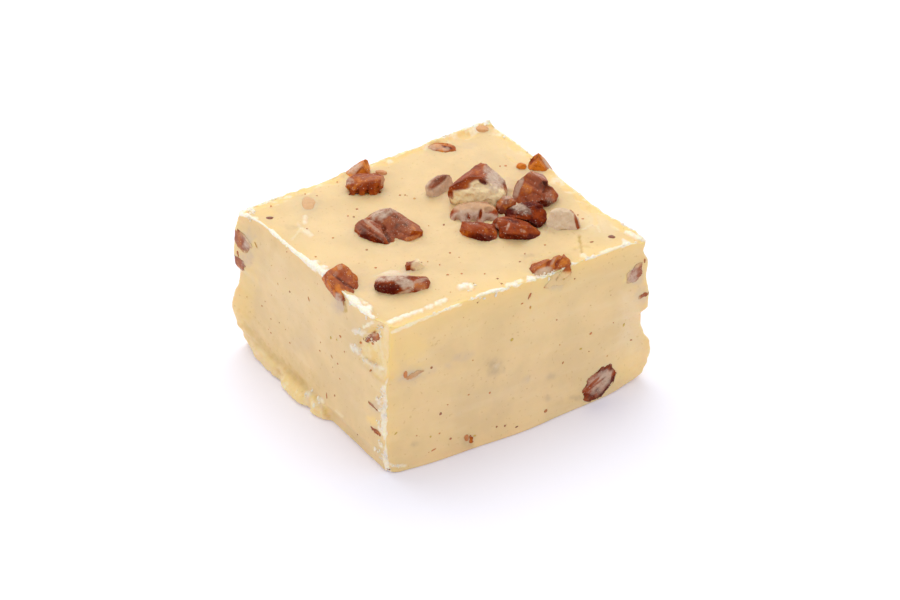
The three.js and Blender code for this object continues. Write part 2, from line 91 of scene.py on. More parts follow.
# Width of the white, crumbly frosting along each edge: (place along it, millimetres)
LEFT_FROST = [(-20.3, 0.03), (-17, 0.05), (-16, 1.4), (-12, 1.5), (-10.2, 1.3), (-9, 0.2), (-5.5, 0.2),
              (-3.5, 1.6), (-1.5, 2), (1, 1.5), (4, 0.75), (8, 0.5), (13, 0.4), (17, 0.4), (20.3, 0.9)]
FRONT_FROST = [(-22.5, 0.03), (-20, 0.05), (-17, 0.15), (-12, 0.3), (-9, 0.35), (-6, 0.6), (0, 0.7),
               (4, 0.9), (7, 0.7), (9, 0.3), (12, 0.35), (15, 0.5), (19, 0.5), (21, 0.4), (22.5, 0.6)]
BACK_FROST = [(-22.5, 0.9), (-20, 0.4), (-10, 0.2), (0, 0.2), (10, 0.25), (16, 0.6), (22.5, 0.8)]
RIGHT_FROST = [(-20.3, 0.8), (-17, 0.4), (-10, 0.2), (0, 0.2), (10, 0.3), (20.3, 0.6)]
FRONT_LEFT_FROST = [(0, 0.3), (0.6, 0.9), (4, 1.6), (4.8, 0.5), (5.6, 0.2), (6.4, 0.3), (7, 1.2),
                    (10.4, 1.4), (10.9, 0.5), (11.6, 1.5), (13.4, 1.2), (14, 0.4), (15.5, 0.7), (16.5, 0.1),
                    (24.5, 0.05)]
OTHER_FROST = [(0, 0.3), (6, 0.2), (10, 0.5), (13, 0.3), (18, 0.25), (24.5, 0.4)]
# Widths at which an edge's frosting starts to show and shows in full, millimetres
FROST_START = (0.05, 0.3)

# Form of the block, millimetres
EDGE_REACH = 4.0  # of an upright edge's wear
RIM_REACH = 1.1  # of the rim's lift, in from the edge
RIM_DEPTH = 3.0  # of the rim's lift, down the sides
BROW_HALF = 0.4  # half the softness of the flake's upper border
WAVE = 0.1  # of the slow waves in the sides
WAVE_START = {"left": 0, "front": 4, "right": 9, "back": 17}
SWELL = 0.12  # of the slow swell in the top
ROUND_SHARE = 0.4  # of a side edge's wear, which the front or the back takes too

# Spacing of the block's grid, at its edges and at most, millimetres
FINISHED_GRID = (0.13, 0.31)
FINDING_GRID = (0.3, 0.6)  # for finding places on the block
MEASURING_GRID = (0.5, 1.0)
GRID_GROWTH = 0.05  # of the spacing, for each millimetre from an edge
ON_FACE = 1e-6  # how near a face counts as on it
TINY = 1e-12  # keeps a length that is divided by off zero

# Where the colours of the edges fade in, millimetres
FRONT_GLOW = (0.85, 2.6)  # yellow of the front edge: strength, reach
EDGE_GLOW = (0.5, 1.4)  # yellow of the other edges
CRUST_WIDTH = (2.2, 1.0)  # of the crust on the top's far edges
LIP_TOP = (3.2, 2.2)  # height of the lip's yellow
FRESH_DEPTH = (0.05, 0.4)  # of the flake, for its fresh colour
TURNED_WIDTH = (1.4, 0.1)  # of that colour where it turns round the upright edge
BESIDE_WIDTH = (3.5, 0)  # of the yellow front beside the flake
BESIDE_FOOT = (15, 18)  # height at which that starts

# Marks that the fudge and the pecans carry
# Stain and veil also carry painted shade beside the nuts; crease carries painted shade in creases and cracks
FUDGE_MARKS = ("frost", "rind", "stain_and_shade", "veil_and_shade", "crease_shade")
PECAN_MARKS = ("flesh", "cream", "film_and_sheen", "dust", "cover", "tone")
# Clouds of marks on the sides turned away from the photo's view: (mark, size in millimetres, seed)
HIDDEN_CLOUDS = (("stain_and_shade", 3.2, 81), ("veil_and_shade", 4.5, 85), ("rind", 5, 89))
HIDDEN_STRENGTH = 0.45

# How the fudge climbs round a nut, and how far the painted shade round a nut reaches, millimetres
CLIMB_SHARE = 0.3  # of the nut's height, at most
CLIMB_REACH = 0.5
NUT_SHADE_REACH = 0.9
WIDE_NUT_SHADE_REACH = 4
OUTLINE_STEP = 0.15  # between points along a nut's outline

# Fixed tints
WIRE_DRAG = (0.92, 0.74, 0.47)
PORE = (0.6, 0.36, 0.12)  # in the fudge
VEIN = (0.05, 0.004, 0.002)  # in a nut's skin
PIT = (0.4, 0.2, 0.09)  # in a nut's flesh
SPECK_OLIVE = (0.62, 0.42, 0.06)
SPECK_ORANGE = (0.6, 0.2, 0.045)
SPECK_BROWN = (0.2, 0.035, 0.01)
SPECK_BLOOM = (0.7, 0.46, 0.24)

# Form of the pecan pieces
VOXEL = 0.12  # spacing of the mesh, millimetres
SMALL_VOXEL = 0.09  # spacing on a small piece
SMALL_LENGTH = 3  # millimetres up to which a piece is small
RELAX_SHARE = 0.6  # of the way to the neighbours' middle, in a round of smoothing
EDGE_STAND = (0.0035, 0.01)  # of an outer edge over its smoothed form, millimetres
PAINTED_SHEEN = 0.18  # painted sheen: a pale laid on the skin that faces up, where the light falls
WRINKLE_DRAW = 0.3  # squeeze along a piece that draws its wrinkles out

# A nut's face that the wire cut
LEVEL_GAP = 0.3  # to the block's side, millimetres
LEVEL_SLANT = 0.7  # of that side, at most
LEVEL_FACING = 0.55  # how squarely the face lies to it, at least
SHOWN_STAND = 0.06  # of what shows, out of the side, millimetres
COVERED_STAND = -0.12  # of what the fudge covers

# Scattered crumbs and specks
CRUMBS_PER_SPOT = 4
CRUMB_SHAPES = 7
SPECK_SHAPES = 5
TOP_DEEPER = 1.6  # a speck on the top, which the photo foreshortens
SPECK_SIDES = [((0, 0, 1), 0.24), ((0, -1, 0), 0.16), ((-1, 0, 0), 0.16), ((1, 0, 0), 0.22),
               ((0, 1, 0), 0.22)]  # (side, share of the strewn specks)
SPECK_SPREAD = 19  # millimetres each way over the top
SPECK_START = 60  # millimetres out, where the search for a speck's place starts
SIDE_MIDDLE = 12  # height of the middle of the spread on a side
SIDE_SHARE = 0.55  # of the spread, up and down a side

# Stage and camera
FLOOR_HALF = 3  # metres
KEY_SIZE = 0.7  # of the large overhead light, metres
KEY_PLACE = (0.12, 0.36, 0.62)
SENSOR_WIDTH = 36  # millimetres
CLIP_RANGE = (0.01, 20)  # metres

# Numbers that stir the random lumps
CELL_HASH = np.array((374761393, 668265263, 1103515245))
SEED_HASH = 97561
MIX_HASH = 1274126177
SEED_STEP = 17.31
HALF_RANGE = 32767.5

# The photo's view: the camera's way round the square, its angle above the floor, its distance from the
# block's middle and the height of that middle, millimetres; where the middle lies in the photo, and the
# photo's pixels to the millimetre there
SIGHT_AZIMUTH = math.radians(-33.5)
SIGHT_ELEVATION = math.radians(33.16)
SIGHT_DISTANCE = 594.6
SIGHT_HEIGHT = 12.365
PHOTO_MIDDLE = (441.0, 291.8)
PHOTO_SCALE = 6.643
# Directions in that view: to the right, towards the viewer along the floor, straight back to the eye, up
COS_ROUND, SIN_ROUND = math.cos(SIGHT_AZIMUTH), math.sin(SIGHT_AZIMUTH)
COS_ABOVE, SIN_ABOVE = math.cos(SIGHT_ELEVATION), math.sin(SIGHT_ELEVATION)
SIGHT_RIGHT = np.round((COS_ROUND, SIN_ROUND, 0), 3)
SIGHT_NEAR = np.round((SIN_ROUND, -COS_ROUND, 0), 3)
SIGHT_BACK = np.round((SIN_ROUND * COS_ABOVE, -COS_ROUND * COS_ABOVE, SIN_ABOVE), 3)
SIGHT_UP = np.round((-SIN_ROUND * SIN_ABOVE, COS_ROUND * SIN_ABOVE, COS_ABOVE), 3)

# Spots on the block, read off the photo in its pixels, by side and kind: (across, down, half length, half
# width, turn in degrees, strength, lift in millimetres). Stain and veil spots are real stains and fudge film,
# and some are painted shade beside the nuts; crease spots are painted shade. Last, where a spot's border
# starts and ends
SPOTS = {
    # Top stains: real stains, and the two broad faint ones are painted shade near the nuts
    ("top", "stain_and_shade"): [
        (530, 256, 10, 3, 5, 0.45, 0), (291, 227, 10, 3, 0, 0.3, 0), (578, 250, 6, 3, 0, 0.2, 0),
        (425, 250, 55, 22, 0, 0.08, 0), (470, 157, 26, 12, 0, 0.1, 0),
    ],
    # Top veils: fudge film, and painted shadow beside the nuts at (467, 146), (366, 287), (362, 272) and
    # (507, 187)
    ("top", "veil_and_shade"): [
        (467, 146, 9, 4, 0, 0.35, 0), (308, 206, 13, 10, 0, 0.15, 0), (366, 287, 10, 6, 0, 0.3, 0),
        (362, 272, 9, 5, 0, 0.2, 0), (507, 187, 9, 8, 0, 0.5, 0.4), (476, 214, 25, 8, 0, 0.8, 0.5),
        (389, 275, 16, 3, 6, 0.4, 0.4), (407, 275, 8, 3, 10, 0.6, 0.2), (550, 228, 9, 5, 0, 0.4, 0.4),
        (449, 199, 8, 4, 0, 0.4, 0.3), (400, 250, 22, 5, 0, 0.12, 0),
    ],
    ("top", "frost"): [(392, 275, 18, 3.4, 6, 0.4, 0), (600, 225, 22, 12, -30, 0.12, 0)],
    ("top", "rind"): [
        (546, 273, 16, 4, 22, 0.2, -0.6), (590, 208, 9, 6, -30, 0.6, -0.1), (263, 212, 14, 8, -20, 0.5, 0),
    ],
    # Front veils: the broad faint first one darkens the front's lower middle; the rest are fudge film
    ("front", "veil_and_shade"): [
        (515, 390, 75, 30, 20, 0.13, 0), (463, 357, 11, 5, 15, 0.45, 0), (448, 366, 4, 3, 0, 0.3, 0),
        (526, 379, 5, 4, 0, 0.45, 0), (412, 377, 13, 7, 15, 0.6, 0), (430, 371, 8, 4, 15, 0.3, 0),
        (556, 285, 8, 6, 0, 0.5, 0), (637, 277, 8, 9, 0, 0.6, 0), (641, 295, 7, 10, 0, 0.5, 0),
    ],
    ("front", "frost"): [(632, 325, 14, 42, 0, 0.15, 0), (497, 366, 3, 3, 0, 0.2, 0)],
    ("front", "rind"): [
        (632, 365, 16, 20, 0, 0.5, 0), (394, 432, 8, 5, 40, 0.5, 0), (628, 276, 3, 9, -30, 0.9, 0),
        (405, 346, 28, 22, 0, 0.6, 0),
    ],
    ("front", "stain_and_shade"): [
        (495, 368, 9, 9, 0, 0.55, 0), (552, 376, 6, 4, 20, 0.4, 0), (547, 398, 4, 3, 0, 0.35, 0),
        (415, 445, 4, 3, 0, 0.4, 0), (577, 398, 7, 3, 0, 0.45, 0), (468, 443, 7, 9, 0, 0.35, 0),
    ],
    # Left crease spot: painted shade in a crease
    ("left", "crease_shade"): [(274, 246, 4, 12, -20, 0.18, 0)],
    ("left", "veil_and_shade"): [
        (247, 240, 8, 12, -30, 0.65, 0), (248, 258, 8, 8, 0, 0.6, 0), (339, 305, 8, 9, 0, 0.5, 0),
        (372, 366, 9, 5, 0, 0.2, 0), (300, 345, 16, 11, 0, 0.12, 0), (376, 407, 8, 6, -40, 0.55, 0),
        (340, 303, 7, 11, 0, 0.8, 0),
    ],
    ("left", "rind"): [
        (253, 244, 3, 6, -30, 0.9, 0), (243, 300, 12, 45, -10, 0.5, 0), (373, 421, 7, 5, -30, 0.9, 0),
        (320, 408, 13, 7, -45, 0.6, 0),
    ],
    ("left", "stain_and_shade"): [(341, 302, 4, 9, 10, 0.6, 0)],
    ("left", "frost"): [
        (308, 394, 4, 3, -40, 0.7, 0.15), (321, 401, 4, 3, -40, 0.7, 0.15), (262, 352, 8, 3, -45, 0.2, 0),
    ],
}
SPOT_BORDER = (1.35, 0.35)

# Flakes, cracks and creases on the block, read off the photo in its pixels, by side and kind: (line, half
# width, strength, lift in millimetres); crease streaks are painted shade in creases and cracks. Last, where a
# streak's border starts and ends
STREAKS = {
    ("top", "frost"): [
        ([(389, 323), (402, 318), (422, 311)], 2, 0.95, 0.2), ([(427, 308), (431, 307)], 2.2, 0.8, 0.15),
        ([(437, 304), (445, 301)], 2.2, 0.85, 0.18), ([(461, 288), (466, 286), (471, 288)], 2.6, 0.9, 0.3),
        ([(478, 297), (490, 292), (504, 290)], 1.7, 0.7, 0.15), ([(507, 286), (522, 281)], 1.7, 0.7, 0.12),
        ([(528, 286), (540, 281), (551, 275)], 2.2, 0.85, 0.18),
        ([(570, 272), (590, 262), (603, 253), (622, 247)], 1.7, 0.7, 0.12),
        ([(246, 206), (252, 211)], 2.4, 0.8, 0.15), ([(250, 217), (256, 219)], 1.8, 0.7, 0.1),
        ([(305, 217), (305, 222)], 1.9, 0.5, 0.1), ([(303, 230), (311, 235)], 2.1, 0.5, 0.1),
        ([(298, 224), (301, 230), (292, 240)], 1.2, 0.25, 0.1), ([(583, 255), (590, 260)], 1.9, 0.6, 0.1),
        ([(627, 233), (640, 238)], 2.4, 0.85, 0.2), ([(624, 241), (630, 245)], 1.9, 0.7, 0.12),
        ([(583, 230), (590, 226), (597, 226), (600, 232)], 1.1, 0.3, 0.12),
        ([(530, 279), (538, 278), (549, 275)], 3, 0.95, 0.3),
    ],
    ("top", "crease_shade"): [
        ([(579, 236), (581, 244), (582, 252)], 1.3, 0.8, -0.2),
        ([(575, 249), (583, 246), (590, 247)], 1.2, 0.3, -0.1),
    ],
    ("top", "rind"): [
        ([(575, 196), (583, 208), (594, 214), (596, 224)], 2.4, 0.6, -0.15),
        ([(505, 155), (515, 162), (525, 168)], 1.4, 0.4, -0.12),
    ],
    ("front", "frost"): [
        ([(388, 464), (396, 466), (405, 466)], 1.3, 0.6, 0.05),
        ([(392, 333), (408, 326), (435, 314), (460, 305)], 1.5, 0.6, 0.03),
    ],
    ("left", "frost"): [
        ([(355, 331), (364, 333)], 2.4, 0.6, 0.12), ([(365, 327), (373, 323)], 1.8, 0.7, 0.1),
        ([(353, 347), (360, 352)], 2.6, 0.65, 0.15),
        ([(360, 353), (365, 360), (371, 365), (384, 369)], 1.8, 0.7, 0.15),
        ([(336, 411), (343, 417)], 1.3, 0.3, 0.05),
    ],
    # Left creases: painted shade in the crease over the lip and in cracks
    ("left", "crease_shade"): [
        ([(244, 320), (258, 336), (270, 348), (282, 359), (295, 371), (312, 390)], 10, 0.2, 0),
        ([(245, 325), (258, 340), (270, 352), (282, 363), (295, 375), (309, 393)], 3.4, 0.45, -0.08),
        ([(316, 398), (321, 407), (328, 417)], 2.6, 0.45, -0.1),
        ([(277, 370), (281, 375)], 1.2, 0.35, -0.1), ([(341, 296), (345, 304), (346, 311)], 1.5, 0.9, 0),
    ],
    ("left", "rind"): [([(312, 396), (320, 406), (328, 416)], 1.7, 0.9, -0.15)],
}
STREAK_BORDER = (1.4, 0.5)

# Larger crumbs on the edges, read off the photo in its pixels: (across, down, width)
CRUMB_SPOTS = [
    (245, 206, 3), (249, 209, 4), (253, 212, 3), (250, 218, 3), (256, 219, 2), (636, 236, 4), (640, 239, 3),
    (629, 243, 3), (623, 246, 3), (356, 348, 4), (360, 352, 3), (366, 361, 3), (375, 366, 2), (381, 328, 3),
    (360, 332, 4), (383, 390, 3), (379, 398, 3), (383, 407, 3), (384, 416, 3), (381, 422, 3), (380, 443, 3),
    (378, 451, 4), (383, 458, 3), (391, 465, 2), (399, 466, 2), (306, 395, 3), (320, 400, 4), (312, 390, 2),
    (466, 286, 4), (462, 288, 3), (471, 288, 3), (430, 307, 3), (441, 302, 3), (356, 331, 3), (361, 333, 3),
    (355, 347, 4), (359, 351, 4), (369, 363, 3), (380, 331, 3), (380, 335, 3), (508, 288, 3), (517, 284, 3),
    (495, 293, 3), (484, 297, 3), (549, 276, 3), (588, 258, 3), (321, 268, 3), (326, 278, 3), (352, 303, 3),
    (367, 315, 4),
]

# Bits of nut in the surface, and two dark sheets of painted shade in the crevices between the nuts, read off
# the photo in its pixels: (across, down, length, width, turn in degrees, tone)
SPECKS_AND_SHADE = [
    (270, 218, 9, 4, 0, 0.9), (612, 237, 9, 5, -10, 0.9), (592, 242, 5, 2, 20, 0.6),
    (354, 217, 3, 2, 0, 0.7), (357, 209, 3, 2, 0, 0.6), (400, 195, 3, 2, 0, 0.5), (444, 225, 3, 3, 0, 0.7),
    (467, 283, 3, 2, 0, 0.8), (472, 286, 3, 2, 0, 0.9), (474, 284, 2, 2, 0, 0.7), (520, 262, 3, 2, 0, 0.7),
    (498, 279, 3, 2, 0, 0.7), (502, 284, 3, 2, 0, 0.6), (525, 254, 2, 2, 0, 0.6), (450, 253, 3, 2, 0, 0.5),
    (448, 275, 3, 2, 0, 0.4), (462, 274, 3, 2, 0, 0.4), (367, 250, 3, 2, 0, 0.6), (376, 268, 3, 2, 0, 0.4),
    (440, 265, 2, 2, 0, 0.4), (436, 290, 2, 2, 0, 0.4), (374, 295, 2, 2, 0, 0.6), (305, 194, 2, 2, 0, 0.5),
    (317, 196, 3, 2, 10, 0.6), (271, 206, 2, 2, 0, 0.4), (307, 229, 3, 2, 0, 0.6), (333, 238, 3, 2, 0, 0.3),
    (316, 257, 3, 2, 0, 0.3), (500, 166, 2, 2, 0, 0.4), (545, 245, 3, 2, 0, 0.3), (578, 215, 2, 2, 0, 0.5),
    (583, 219, 4, 2, 0, 0.4), (348, 216, 2, 2, 0, 0.5), (405, 195, 2, 2, 0, 0.6), (485, 274, 2, 2, 0, 0.4),
    (428, 262, 2, 2, 0, 0.4), (432, 368, 3, 3, 0, 0.7), (441, 414, 4, 4, 0, 0.75),
    (546, 411, 5, 4, 20, 0.6), (530, 296, 3, 9, -30, 0.6), (478, 303, 2, 2, 0, 0.7),
    (557, 320, 2, 2, 0, 0.5), (631, 340, 4, 2, -10, 0.5), (512, 340, 5, 4, 30, 0.05),
    (581, 349, 4, 3, 0, 0.05), (624, 325, 3, 5, -20, 0), (505, 426, 3, 3, 0, 0.7), (497, 427, 3, 3, 0, 0.7),
    (517, 427, 5, 2, 15, 0.9), (469, 395, 3, 2, 0, 0.4), (490, 393, 3, 3, 0, 0.4),
    (434, 450, 8, 2, 15, 0.35), (451, 439, 4, 3, 0, 0.6), (396, 434, 5, 2, 40, 0.05),
    (431, 437, 3, 3, 0, 0.05), (575, 279, 2, 2, 0, 0.6), (565, 277, 2, 10, -20, 0.1),
    (448, 405, 2, 2, 0, 0.3), (560, 345, 2, 2, 0, 0.2), (417, 436, 2, 2, 0, 0.3), (406, 375, 5, 10, 0, 0.4),
    (238, 254, 4, 9, 12, 0.6), (645, 261, 3, 6, 0, 0.6), (467, 438, 6, 9, 10, 0.5),
    # The last two on the next line, at (497, 216) and (490, 229), are dark sheets of painted shade between
    # the nuts
    (344, 303, 2, 9, 15, 0.6), (497, 216, 10, 5, 0, 0.95), (490, 229, 5, 6, 0, 0.95),
    (482, 131, 9, 4, 0, 0.08), (373, 344, 4, 3, 0, 0.4), (475, 436, 4, 3, 0, 0.1),
    (388, 469, 7, 4, 0, 0.97), (361, 343, 3, 4, 0, 0.3), (290, 292, 3, 3, 0, 0.7),
    (309, 299, 2, 6, 30, 0.3), (262, 306, 3, 2, 0, 0.4), (271, 319, 2, 2, 0, 0.3),
    (271, 333, 3, 2, -20, 0.4), (290, 343, 3, 2, 0, 0.4), (320, 351, 3, 2, 0, 0.3),
    (327, 396, 2, 9, 10, 0.55), (338, 364, 3, 3, 0, 0.5), (340, 379, 3, 2, 0, 0.4),
    (332, 357, 6, 2, -40, 0.3), (371, 371, 4, 3, -20, 0.5), (247, 297, 2, 2, 0, 0.2),
    (287, 252, 2, 2, 0, 0.4), (331, 338, 3, 4, 0, 0.05), (337, 340, 3, 2, 0, 0.05),
    (256, 245, 2, 9, 35, 0.15),
]

